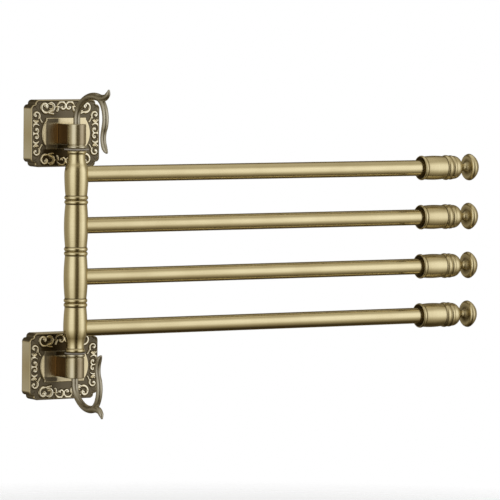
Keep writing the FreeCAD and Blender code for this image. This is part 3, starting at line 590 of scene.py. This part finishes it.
hook = {
    "top": 101.75, "stud": 10.0, "studRadius": 2.0, "studGap": 1.0, "sink": 0.8, "root": 2.75,
    "tailRoot": 2.6, "upperTurn": 5.0, "step": 0.35, "segments": 40,
    "trunk": [(5.4, 0, 2.75), (14.6, -50.0, 2.75), (30.8, -44.0, 3.05)],
    "horn": [(30.8, -8.0, 3.05), (22.0, 22.0, 2.7), (8.0, 46.0, 2.0), (8.0, 19.0, 1.0)],
    "tail": [(15.0, -56.0, 2.6), (20.0, -50.0, 2.6), (3.0, 0, 2.35), (16.0, 50.0, 2.35), (9.0, 15.0, 1.9),
             (9.0, 12.0, 1.2)],
}


def walked(start, moves):
    # stations (forward, up, heading, radius) along straight runs and arcs
    stations = [np.array([start])]
    forward, up, heading, thick = start
    for reach, turn, endThick in moves:
        length = reach if turn == 0 else reach * math.radians(abs(turn))
        share = np.linspace(0, 1, max(int(length / hook["step"]), 2) + 1)[1:]
        if turn == 0:
            headings = np.full(len(share), heading)
            forwards = forward + reach * share * math.cos(heading)
            ups = up + reach * share * math.sin(heading)
        else:
            sign = math.copysign(1.0, turn)
            headings = heading + math.radians(turn) * share
            forwards = forward + reach * sign * (np.sin(headings) - math.sin(heading))
            ups = up + reach * sign * (math.cos(heading) - np.cos(headings))
        run = np.stack([forwards, ups, headings, thick + (endThick - thick) * share], axis=-1)
        stations.append(run)
        forward, up, heading, thick = run[-1]
    return np.concatenate(stations)


def rodShell(stations, sign, swing):
    # circles across the path, closed by a rounded tip at each end; the hook's plane stands on the column's
    # axis and is swung from x = 0 towards the arms by the angle given
    tip = np.linspace(0, math.pi / 2, 8)[1:-1]
    ends = []
    for station, way in ((stations[0], -1.0), (stations[-1], 1.0)):
        forward, up, heading, thick = station
        reach = thick * np.sin(tip) * way
        rows = np.stack([forward + reach * math.cos(heading), up + reach * math.sin(heading),
                         np.full(len(tip), heading), thick * np.cos(tip)], axis=-1)
        ends.append(rows[::-1] if way < 0 else rows)
    stations = np.concatenate([ends[0], stations, ends[1]])
    forward, up, heading, thick = (stations[:, i:i + 1] for i in range(4))
    turn = np.linspace(0, 2 * math.pi, hook["segments"], endpoint=False)
    across, aside = thick * np.cos(turn), thick * np.sin(turn)
    y = -(forward - across * np.sin(heading))
    z = up + across * np.cos(heading)
    cosine, sine = math.cos(math.radians(swing)), math.sin(math.radians(swing))
    grid = np.stack([aside * cosine - y * sine, aside * sine + y * cosine, sign * z], axis=-1)
    return shell(grid + columnAxis + [0, 0, sign * hook["top"]])


def makeHook(side, sign):
    # stud inside the barrel, trunk that arches over and rises into the horn, and the tail
    upright = math.radians(90.0)
    stud = walked((0.0, -hook["stud"], upright, hook["studRadius"]),
                  [(hook["stud"] - hook["studGap"], 0, hook["studRadius"])])
    trunk = walked((0.0, -hook["sink"], upright, hook["root"]), hook["trunk"])
    horn = walked(tuple(trunk[-1]), hook["horn"])
    tail = walked(tuple(trunk[-1][:3]) + (hook["tailRoot"],), hook["tail"])
    swing = hook["upperTurn"] if side == "upper" else 0.0
    shells = [rodShell(rod, sign, swing) for rod in (stud, np.concatenate([trunk, horn[1:]]), tail)]
    piece(side + "Hook", shells, "wall_column", "hook_brass", side + "_hook")


# flanges with their scrolls. fineStep, columns and the two counts of rows say how finely they are divided

flange = {
    "width": 61.5, "height": 53.7, "depth": 14.6, "bevel": 0.7, "cornerCut": 7.7, "cornerNotch": 3.0,
    "notchHalf": 0.8, "lobe": 3.6, "notch": 1.25, "wall": 1.8, "front": 2.6, "rim": 0.55, "field": 0.55,
    "bossHigh": 12.6, "bossWide": 17.9, "bossShoulder": 1.6, "bossBulge": 3.7, "bossRise": 1.0,
    "bossBevel": 0.5, "bossSoftening": 0.12, "bossFoot": 0.12, "hole": 3.65, "setScrewY": 6.5,
    "setScrew": 2.06, "pocket": 1.6, "fineStep": 0.05, "columns": 690, "fieldRows": 66, "bossRows": 26,
}

# strokes of one quarter, mirrored into the other three. Spirals: centre, start and end radius, start and end
# angle, start and end half-width, height. Lines: points, half-widths, height. Beads: centre, radius, height.
# fullness widens the spirals and the lines
scrolls = {
    "fullness": 1.5, "grooveWidth": 0.9, "linePoints": 26,
    "spirals": [
        (26.5, 2.7, 4.3, 0.9, 67, -290, 0.70, 0.60, 0.80),
        (26.6, 14.6, 3.6, 0.9, 234, -80, 0.70, 0.60, 0.80),
        (26.8, 11.2, 2.3, 2.3, 200, 340, 0.65, 0.50, 0.70),
        (26.8, 11.2, 1.1, 1.1, 190, 350, 0.45, 0.35, 0.55),
        (3.1, 21.4, 4.6, 1.0, 13, 340, 0.70, 0.60, 0.80),
        (18.2, 21.3, 4.9, 1.2, -125, 215, 0.85, 0.70, 0.85),
        (13.6, 21.6, 3.9, 2.7, -67, -306, 0.90, 0.50, 0.85),
        (13.4, 21.4, 1.9, 1.9, -50, -290, 0.55, 0.40, 0.65),
    ],
    "lines": [
        ([(28.4, 7.2), (26.0, 8.3), (24.2, 6.4)], (0.75, 0.45), 0.75),
        ([(23.9, 13.6), (22.8, 11.2), (21.6, 9.4)], (0.35, 0.55), 0.65),
        ([(8.8, 21.3), (7.4, 21.7), (6.2, 21.3)], (0.45, 0.60), 0.60),
        ([(6.6, 20.6), (6.9, 19.4), (7.5, 18.1)], (0.60, 0.65), 0.75),
        ([(15.4, 16.6), (13.4, 15.9), (11.4, 15.8)], (0.50, 0.65), 0.70),
    ],
    "beads": [
        (26.4, 2.6, 1.05, 0.90), (26.9, 14.5, 1.10, 0.90), (3.3, 21.2, 1.00, 0.90), (18.1, 22.0, 1.35, 0.95),
        (21.3, 9.1, 0.80, 0.80), (7.6, 17.9, 0.85, 0.80), (11.2, 15.8, 0.85, 0.75),
    ],
}

# wear and painted shade on a flange. Keys that end in X are places from its middle, + towards the arms' tips;
# fade, fieldFade and besideRun are the widths over which a zone comes in. side and sideEnds are heights in
# the relief, which come out bright as painted light on the outer side, and crest is the height for each
# millimetre of scroll. The others are depths: field, groove, rim, pocket and bossFoot hold patina; corner,
# beside, besideStem, cornerOfStem, tucked, fieldTucked, bossEdge and the lower boss's strip are painted shade
flangePatinaAndShade = {
    "corner": 0.34, "pocket": 0.5, "field": 0.46, "groove": 0.36, "crest": 1.75, "rim": 0.36, "side": 0.10,
    "sideEnds": 0.34, "fromX": -19.0, "stemX": -6.5, "toX": 7.0, "fade": 1.2, "beside": 0.33,
    "besideStem": 0.06, "besideRun": 9.0, "cornerOfStem": 0.36, "tucked": 0.85, "tuckedX": -8.5,
    "bossEdge": 0.4, "bossFoot": 0.3, "bottomShadeStrip": 0.20, "fieldFromX": -23.0, "fieldTucked": 0.35,
    "fieldFade": 4.0,
}


def strokePoints():
    # every stroke as samples (x, z, half-width, height): a spiral's radius runs evenly with its angle, and
    # a line is the curve drawn by its end points and pulled by its middle one
    samples = []
    for x, z, r0, r1, a0, a1, w0, w1, high in scrolls["spirals"]:
        share = np.linspace(0, 1, max(int(abs(a1 - a0) * max(r0, r1) / 12), 8))
        angle, radius = np.radians(a0 + (a1 - a0) * share), r0 + (r1 - r0) * share
        width = (w0 + (w1 - w0) * share) * np.minimum(1.0, 0.45 + 6 * share) * scrolls["fullness"]
        samples.append(np.stack([x + radius * np.cos(angle), z + radius * np.sin(angle), width,
                                 high * (0.75 + 0.25 * share)], axis=-1))
    share = np.linspace(0, 1, scrolls["linePoints"])[:, None]
    for points, (w0, w1), high in scrolls["lines"]:
        first, middle, last = np.array(points)
        place = (1 - share) ** 2 * first + 2 * share * (1 - share) * middle + share ** 2 * last
        width = (w0 + (w1 - w0) * share) * scrolls["fullness"]
        samples.append(np.concatenate([place, width, np.full(share.shape, high)], axis=-1))
    samples.append(np.array(scrolls["beads"], float))
    return np.concatenate(samples)


def scrollHeight(x, z):
    # the highest of all strokes over each point, a stroke's cut being a half ellipse, and how close the
    # nearest stroke is: 1 on a stroke, 0 where its groove ends
    flatX, flatZ = np.abs(x), np.abs(z)
    height, closeness = np.zeros(len(flatX)), np.zeros(len(flatX))
    groove = scrolls["grooveWidth"]
    for sx, sz, width, high in strokePoints():
        near = (np.abs(flatX - sx) < width + groove) & (np.abs(flatZ - sz) < width + groove)
        away = np.hypot(flatX[near] - sx, flatZ[near] - sz)
        height[near] = np.maximum(height[near], high * np.sqrt(np.maximum(1 - (away / width) ** 2, 0.0)))
        closeness[near] = np.maximum(closeness[near], ramp(-away, -width - groove, groove))
    return height, closeness


def quartered(quarter):
    # a quarter outline, from the side to the top, mirrored into all four, counterclockwise
    def turned(flipX, flipZ):
        order = list(quarter)
        if flipX != flipZ:
            curves = [corner[2:] for corner in order[:-1]]
            order = [corner[:2] for corner in reversed(order)]
            order = [flat + curve for flat, curve in zip(order, list(reversed(curves)) + [()])]
        return [(-c[0] if flipX else c[0], -c[1] if flipZ else c[1]) + tuple(c[2:]) for c in order]
    return turned(False, False) + turned(True, False) + turned(True, True) + turned(False, True)


def atAngles(outline, angles):
    # the outline's distance from the centre at each polar angle, as points
    own = np.arctan2(outline[:, 1], outline[:, 0])
    order = np.argsort(own)
    radius = np.interp(angles, own[order], np.hypot(*outline[order].T), period=2 * math.pi)
    return np.stack([radius * np.cos(angles), radius * np.sin(angles)], axis=-1)


def drawnIn(outline, inset):
    # every point moved straight towards the centre
    return outline * (1 - inset / np.hypot(*outline.T))[:, None]


def flangeOutlines():
    # outer edge, boss, hollow and hole as points at the same polar angles, which are spaced evenly along
    # the outer edge
    halfX, halfZ = flange["width"] / 2, flange["height"] / 2
    cut, notch, spread = flange["cornerCut"], flange["cornerNotch"], flange["notchHalf"]
    fine = flange["fineStep"]
    outer = traced(quartered([
        (halfX, halfZ - cut, flange["lobe"], -1),
        (halfX - notch + spread, halfZ - notch - spread, flange["notch"], 1),
        (halfX - notch - spread, halfZ - notch + spread, flange["lobe"], -1),
        (halfX - cut, halfZ)]), True, fine)
    wide, tall, bulge = flange["bossWide"], flange["bossHigh"], flange["bossBulge"]
    shoulder = tall - flange["bossShoulder"]
    bend = (shoulder ** 2 + bulge ** 2) / (bulge * 2)
    boss = traced([(wide, -shoulder, bend, -1), (wide, shoulder), (wide, tall), (-wide, tall),
                   (-wide, shoulder, bend, -1), (-wide, -shoulder), (-wide, -tall),
                   (wide, -tall)], True, fine)
    inX, inZ = halfX - flange["wall"], halfZ - flange["wall"]
    hollow = traced(quartered([(inX, inZ - cut), (inX - cut, inZ)]), True, fine)
    steps = np.hypot(*np.diff(np.vstack([outer, outer[:1]]), axis=0).T)
    along = np.concatenate([[0], np.cumsum(steps)])
    even = np.linspace(0, along[-1], flange["columns"], endpoint=False)
    edge = np.stack([np.interp(even, along, np.append(outer[:, i], outer[0, i])) for i in (0, 1)], axis=-1)
    angles = np.arctan2(edge[:, 1], edge[:, 0])
    hole = flange["hole"] * np.stack([np.cos(angles), np.sin(angles)], axis=-1)
    return (edge, atAngles(softened(boss, flange["bossSoftening"], True), angles), atAngles(hollow, angles),
            atAngles(hole, angles))


def fieldShade(plan, sign):
    # painted shade of the column on the field: 1 beyond the boss on the arms' side, beside the column, fading
    # out at both ends
    fade = flangePatinaAndShade["fieldFade"]
    beyond = ramp(-plan[:, 1] * sign, flange["bossHigh"] - 1.0, 1.5)
    return (beyond * ramp(plan[:, 0], flangePatinaAndShade["fieldFromX"], fade)
            * ramp(-plan[:, 0], -flangePatinaAndShade["toX"], fade))


def bossShade(plan, sign):
    # painted shade of the column on the boss's face: a zone left of the stem, lightest against it; the
    # deepest one between the stem and the first sleeve; and a strip of painted shade on the lower boss, away
    # from the arms
    patinaAndShade = flangePatinaAndShade
    x, away, fade = plan[:, 0], plan[:, 1] * sign, patinaAndShade["fade"]
    past = ramp(np.abs(away), post["height"] / 2, fade)
    inner = ramp(x, patinaAndShade["fromX"] + fade, patinaAndShade["besideRun"])
    level = patinaAndShade["beside"] + (patinaAndShade["besideStem"] - patinaAndShade["beside"]) * inner
    level = level + (patinaAndShade["cornerOfStem"] - level) * past
    beside = level * ramp(x, patinaAndShade["fromX"], fade) * ramp(-x, -patinaAndShade["stemX"], fade)
    tucked = patinaAndShade["tucked"] * ramp(x, patinaAndShade["tuckedX"], fade) * ramp(-x, -patinaAndShade["toX"], fade)
    tucked = tucked * past * (away < 0)
    return np.maximum(beside, tucked) + patinaAndShade["bottomShadeStrip"] * past * (away > 0) * (sign < 0)


def makeFlange(side, sign):
    # a closed surface of rings about the flange's axis: back rim, outer side, rounded edge, field, boss,
    # hole and inside
    patinaAndShade, depth = flangePatinaAndShade, flange["depth"]
    halfSize = np.array([flange["width"], flange["height"]]) / 2
    edge, bossEdge, inside, hole = flangeOutlines()
    along = np.roll(edge, -1, axis=0) - np.roll(edge, 1, axis=0)
    inwards = np.stack([-along[:, 1], along[:, 0]], axis=-1) / np.hypot(*along.T)[:, None]
    corner = ramp((np.abs(edge) - (halfSize - flange["cornerCut"] + 0.6)).min(axis=1), 0.0, 0.8)
    rows, reliefs = [], []

    def addRow(plan, out, relief=0.0):
        # one ring of the surface: its plan outline and how far it stands out from the wall
        out = np.broadcast_to(-np.asarray(out, float), len(plan))
        rows.append(np.stack([plan[:, 0], out, plan[:, 1]], axis=-1))
        reliefs.append(np.broadcast_to(np.asarray(relief, float), len(plan)))

    # back rim, then the outer side with the pocket of the set screw in its underside
    addRow(inside, 0.0)
    for out in np.concatenate([[0.0, 0.35, 2.0, 4.0], np.linspace(4.3, 8.7, 21), [9.4, 11.0, 12.6]]):
        pocket = (np.hypot(edge[:, 0], out - flange["setScrewY"]) < flange["setScrew"]) & (edge[:, 1] < 0)
        plan = edge + inwards * (0.25 if out == 0.0 else 0.0)
        plan = plan + np.stack([np.zeros(len(edge)), np.where(pocket, flange["pocket"], 0.0)], axis=-1)
        # painted light on the outer side, growing towards its top and bottom, and painted shade in its cut
        # corners
        paintedSideLightAndShade = patinaAndShade["side"] + patinaAndShade["sideEnds"] * np.abs(edge[:, 1]) / halfSize[1]
        paintedSideLightAndShade = np.where(corner > 0, -patinaAndShade["corner"] * corner, paintedSideLightAndShade)
        addRow(plan, out, np.where(pocket, -patinaAndShade["pocket"], paintedSideLightAndShade))
    for turn in np.radians([0, 18, 36, 54, 72, 90]):
        addRow(edge + inwards * flange["bevel"] * (1 - math.cos(turn)),
               depth - flange["bevel"] * (1 - math.sin(turn)), 0.1 - 0.3 * turn)
    rimInner = edge + inwards * (flange["bevel"] + flange["rim"])
    addRow(rimInner, depth, -patinaAndShade["rim"])
    # field: rows run from the rim to the boss, and carry the scrolls
    bossFoot = drawnIn(bossEdge, -flange["bossFoot"])
    for share in np.linspace(0.012, 1.0, flange["fieldRows"]):
        plan = rimInner * (1 - share) + bossFoot * share
        fromRim, fromBoss = np.hypot(*(plan - rimInner).T), np.hypot(*(plan - bossFoot).T)
        high, close = scrollHeight(plan[:, 0], plan[:, 1])
        raised = high * ramp(fromBoss, 0.0, 0.5) * np.clip(fromRim / 0.2, 0.35, 1)
        dark = (patinaAndShade["field"] + patinaAndShade["groove"] * close) * ramp(fromRim, 0.0, 0.5)
        # painted shade of the column, on the field beside the stem on the arms' side
        dark = dark + patinaAndShade["fieldTucked"] * fieldShade(plan, sign)
        addRow(plan, depth - flange["field"] * ramp(fromRim, 0.0, 0.3) + raised,
               patinaAndShade["crest"] * raised - dark)
    # boss: rounded edge, flat face, hole for the post, then the inside of the cover
    top, bevel = depth + flange["bossRise"], flange["bossBevel"]
    addRow(bossEdge, depth - flange["field"] + 0.15, -patinaAndShade["bossFoot"])
    # painted shade on the boss's rounded edge on the arms' side of the stem
    dark = ramp(-bossEdge[:, 1] * sign, post["height"] / 2, patinaAndShade["fade"]) * (bossEdge[:, 0] < patinaAndShade["toX"])
    for turn in np.radians([0, 22, 45, 68, 90]):
        addRow(drawnIn(bossEdge, bevel * (1 - math.cos(turn))), top - bevel * (1 - math.sin(turn)),
               0.1 - patinaAndShade["bossEdge"] * dark)
    for share in np.linspace(0.03, 1.0, flange["bossRows"]):
        plan = drawnIn(bossEdge, bevel) * (1 - share) + hole * share
        addRow(plan, top, -bossShade(plan, sign))
    inner = depth - flange["front"]
    for share in (0.0, 0.5, 0.97, 1.0):
        addRow(hole * (1 - share) + inside * share, inner)
    for out in (inner - 0.3, inner / 2):
        addRow(inside, out)
    grid = np.stack(rows) + [0, 0, sign * post["centre"]]
    piece(side + "Flange", [shell(grid, np.stack(reliefs), True)], "wall_column", "flange_brass",
          side + "_flange")


for arm in range(1, column["armCount"] + 1):
    height = column["armPitch"] * ((column["armCount"] + 1) / 2 - arm)
    makeSleeve(arm, height)
    makeTube(arm, height)
    makeFinial(arm, height)
print("arms:", column["armCount"])
for side, sign in (("upper", 1.0), ("lower", -1.0)):
    makeFlange(side, sign)
    makePost(side, sign)
    makeHook(side, sign)
    makeWasher(side, sign)
print("wall side: two flanges, posts, hooks and washers")

# the frame's own pieces arrive with materials named after their slots, and each gets the finish of its slot
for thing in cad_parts.values():
    for place in thing.material_slots:
        place.material = finishes[place.material.name]


# floor, light and camera

# each lamp is given by its azimuth, from the front towards +x, and its elevation
studio = {
    "centre": (0.15, -0.03, 0.0), "ambient": 0.75,
    "floor": -0.30, "floorCentre": (0.17, -0.03), "floorRadius": 0.9, "floorFade": 0.35, "floorTone": 0.92,
    "lamps": [(-58.0, 22.0), (34.0, 25.0)], "lampSize": 2.4, "lampDistance": 2.6, "lampRadiance": 0.25,
}
# grey cards that polished metal reflects. The sky is the grey overhead, from skyFrom upwards; brighter behind
# and towards the zenith. A band behind the object, between bandFrom and bandTo, is dimmed. Each fade is the
# angle over which its zone comes in, and the powers take green and blue down with the shade
cards = {
    "radius": 2.0, "spacing": 2.0, "sky": 0.50, "skyFrom": 24.0, "skyFade": 24.0, "skyBehind": 0.08,
    "zenith": 0.24, "zenithFrom": 50.0, "zenithFade": 40.0, "behindFrom": 110.0, "behindFade": 25.0,
    "dimming": 0.72, "bandFrom": 10.0, "bandFromFade": 8.0, "bandTo": 58.0, "bandToFade": 14.0,
    "greenPower": 1.1, "bluePower": 1.36,
    # shade of the cards by azimuth, from the front towards +x
    "around": [
        (-180, 0.34), (-150, 0.37), (-127, 0.35), (-105, 0.45), (-92, 0.66), (-84, 0.98), (-60, 1.10),
        (-50, 0.95), (-42, 0.62), (-33, 0.17), (-22, 0.09), (-10, 0.08), (-3, 0.18), (6, 0.74), (20, 0.88),
        (35, 1.16), (52, 1.12), (62, 0.86), (75, 0.46), (100, 0.31), (125, 0.28), (180, 0.30)],
    # share of it that is left below the horizon, by elevation
    "below": [
        (-90, 0.05), (-77, 0.05), (-62, 0.115), (-49, 0.21), (-37, 0.34), (-25, 0.55), (-12, 0.87),
        (-4, 1.0)],
}


def stageMesh(name, points, faces, material):
    # a mesh that belongs to the stage and not to the part
    mesh = bpy.data.meshes.new(name)
    mesh.from_pydata(points.reshape(-1, 3).tolist(), [], faces)
    mesh.materials.append(material)
    thing = bpy.data.objects.new(name, mesh)
    bpy.context.scene.collection.objects.link(thing)
    return thing


def makeFloor():
    # round pale sheet that fades out towards its rim
    rings, spokes = 24, 96
    radius = np.linspace(0.02, studio["floorRadius"], rings)
    turn = np.linspace(0, 2 * math.pi, spokes, endpoint=False)
    x, y = studio["floorCentre"]
    points = np.stack([radius[:, None] * np.cos(turn) + x, radius[:, None] * np.sin(turn) + y,
                       np.full((rings, spokes), studio["floor"])], axis=-1)
    material = bpy.data.materials.new("paleFloor")
    material.use_nodes = True
    tree = material.node_tree
    shader = tree.nodes["Principled BSDF"]
    shader.inputs["Base Color"].default_value = (studio["floorTone"],) * 3 + (1.0,)
    shader.inputs["Roughness"].default_value = 0.8
    faded = shaderNode(tree, "ShaderNodeAttribute", attribute_name="shown").outputs["Fac"]
    tree.links.new(faded, shader.inputs["Alpha"])
    faces = gridFaces(rings, spokes).tolist() + [list(range(spokes))]
    thing = stageMesh("floor", points, faces, material)
    shown = np.repeat(ramp(-radius, -studio["floorRadius"], studio["floorFade"]), spokes)
    layer = thing.data.attributes.new("shown", "FLOAT", "POINT")
    layer.data.foreach_set("value", shown.astype(np.float32))
    thing.visible_glossy = False


def makeCards():
    # seen only in reflections. Shade = around, by azimuth, times below, by elevation, blended into the sky
    # and dimmed in the band behind; the darker a card, the warmer its grey
    azimuth = np.arange(-180, 180, cards["spacing"])[None, :]
    elevation = np.arange(-90, 91, cards["spacing"])[:, None]
    level = (np.interp(azimuth, *np.array(cards["around"], float).T)
             * np.interp(elevation, *np.array(cards["below"], float).T))
    behind = ramp(np.abs(azimuth), cards["behindFrom"], cards["behindFade"])
    sky = cards["sky"] + cards["skyBehind"] * behind
    sky = sky + cards["zenith"] * ramp(elevation, cards["zenithFrom"], cards["zenithFade"])
    above = ramp(elevation, cards["skyFrom"], cards["skyFade"])
    band = ramp(elevation, cards["bandFrom"], cards["bandFromFade"])
    band = band * ramp(-elevation, -cards["bandTo"], cards["bandToFade"])
    shade = (level * (1 - above) + sky * above) * (1 - cards["dimming"] * behind * band)
    warm = np.stack([shade, shade ** cards["greenPower"], shade ** cards["bluePower"], np.ones_like(shade)],
                    axis=-1)
    e, a = np.radians(elevation), np.radians(azimuth)
    points = cards["radius"] * np.stack([np.cos(e) * np.sin(a), -np.cos(e) * np.cos(a),
                                         np.sin(e) * np.ones_like(a)], axis=-1)
    material = bpy.data.materials.new("greyCard")
    material.use_nodes = True
    tree = material.node_tree
    tree.nodes.clear()
    colour = shaderNode(tree, "ShaderNodeAttribute", attribute_name="shade").outputs["Color"]
    glow = shaderNode(tree, "ShaderNodeEmission", {"Color": colour, "Strength": 1.0})
    shaderNode(tree, "ShaderNodeOutputMaterial", {"Surface": glow.outputs[0]})
    thing = stageMesh("greyCards", points + studio["centre"], gridFaces(*shade.shape).tolist(), material)
    layer = thing.data.attributes.new("shade", "FLOAT_COLOR", "POINT")
    layer.data.foreach_set("color", warm.reshape(-1).astype(np.float32))
    thing.visible_camera = thing.visible_diffuse = thing.visible_shadow = False
    thing.visible_transmission = thing.visible_volume_scatter = False


def makeWorld():
    # plain light for matt surfaces; white for the camera and for light rays reflected or let through. The
    # cards stand in front of it in reflections
    world = bpy.data.worlds.new("studio")
    bpy.context.scene.world = world
    world.use_nodes = True
    tree = world.node_tree
    tree.nodes.clear()
    path = shaderNode(tree, "ShaderNodeLightPath").outputs
    seen = plus(tree, path["Is Camera Ray"], path["Is Glossy Ray"])
    seen = plus(tree, seen, path["Is Transmission Ray"], clamp=True)
    light, white = (shaderNode(tree, "ShaderNodeBackground", {"Color": (1, 1, 1, 1), "Strength": strength})
                    for strength in (studio["ambient"], 1.0))
    mixed = shaderNode(tree, "ShaderNodeMixShader", {0: seen, 1: light.outputs[0], 2: white.outputs[0]})
    shaderNode(tree, "ShaderNodeOutputWorld", {"Surface": mixed.outputs[0]})


def lookingFrom(azimuth, elevation):
    # unit vectors towards a place at this azimuth and elevation, and to the right as seen from there
    a, e = math.radians(azimuth), math.radians(elevation)
    back = np.array([math.cos(e) * math.sin(a), -math.cos(e) * math.cos(a), math.sin(e)])
    return back, np.array([math.cos(a), math.sin(a), 0.0])


def setUp(name, data, where, right, up, back):
    # an object at this place whose own x, y and z axes are right, up and back
    thing = bpy.data.objects.new(name, data)
    matrix = np.eye(4)
    matrix[:3] = np.stack([right, up, back, where], axis=-1)
    thing.matrix_world = Matrix(matrix.tolist())
    bpy.context.scene.collection.objects.link(thing)
    return thing


def makeLamps():
    # two large soft lamps; power = pi * area * radiance
    for i, direction in enumerate(studio["lamps"]):
        back, right = lookingFrom(*direction)
        lamp = bpy.data.lights.new("softLamp%d" % (i + 1), "AREA")
        lamp.shape = "SQUARE"
        lamp.size = studio["lampSize"]
        lamp.energy = math.pi * studio["lampSize"] ** 2 * studio["lampRadiance"]
        setUp(lamp.name, lamp, np.array(studio["centre"]) + back * studio["lampDistance"], right,
              np.cross(back, right), back)


# the camera's aim lies across to the right and up from the column's middle. Lengths, lens and sensor are in
# millimetres
view = {"azimuth": -30.06, "elevation": 3.79, "roll": 0.583, "distance": 3600.0, "across": 139.31, "up": 2.46,
        "lens": 324.0, "sensor": 36.0}


def makeCamera():
    back, right = lookingFrom(view["azimuth"], view["elevation"])
    up, roll = np.cross(back, right), math.radians(view["roll"])
    where = right * view["across"] + columnAxis + [0, 0, view["up"]] + back * view["distance"]
    camera = bpy.data.cameras.new("camera")
    camera.lens = view["lens"]
    camera.sensor_width = view["sensor"]
    turnedRight = math.cos(roll) * right + math.sin(roll) * up
    turnedUp = math.cos(roll) * up - math.sin(roll) * right
    bpy.context.scene.camera = setUp("camera", camera, where * mm, turnedRight, turnedUp, back)


makeFloor()
makeCards()
makeWorld()
makeLamps()
makeCamera()
bpy.context.scene.view_settings.view_transform = "Standard"
print("stage: floor, grey cards, two lamps and the camera")
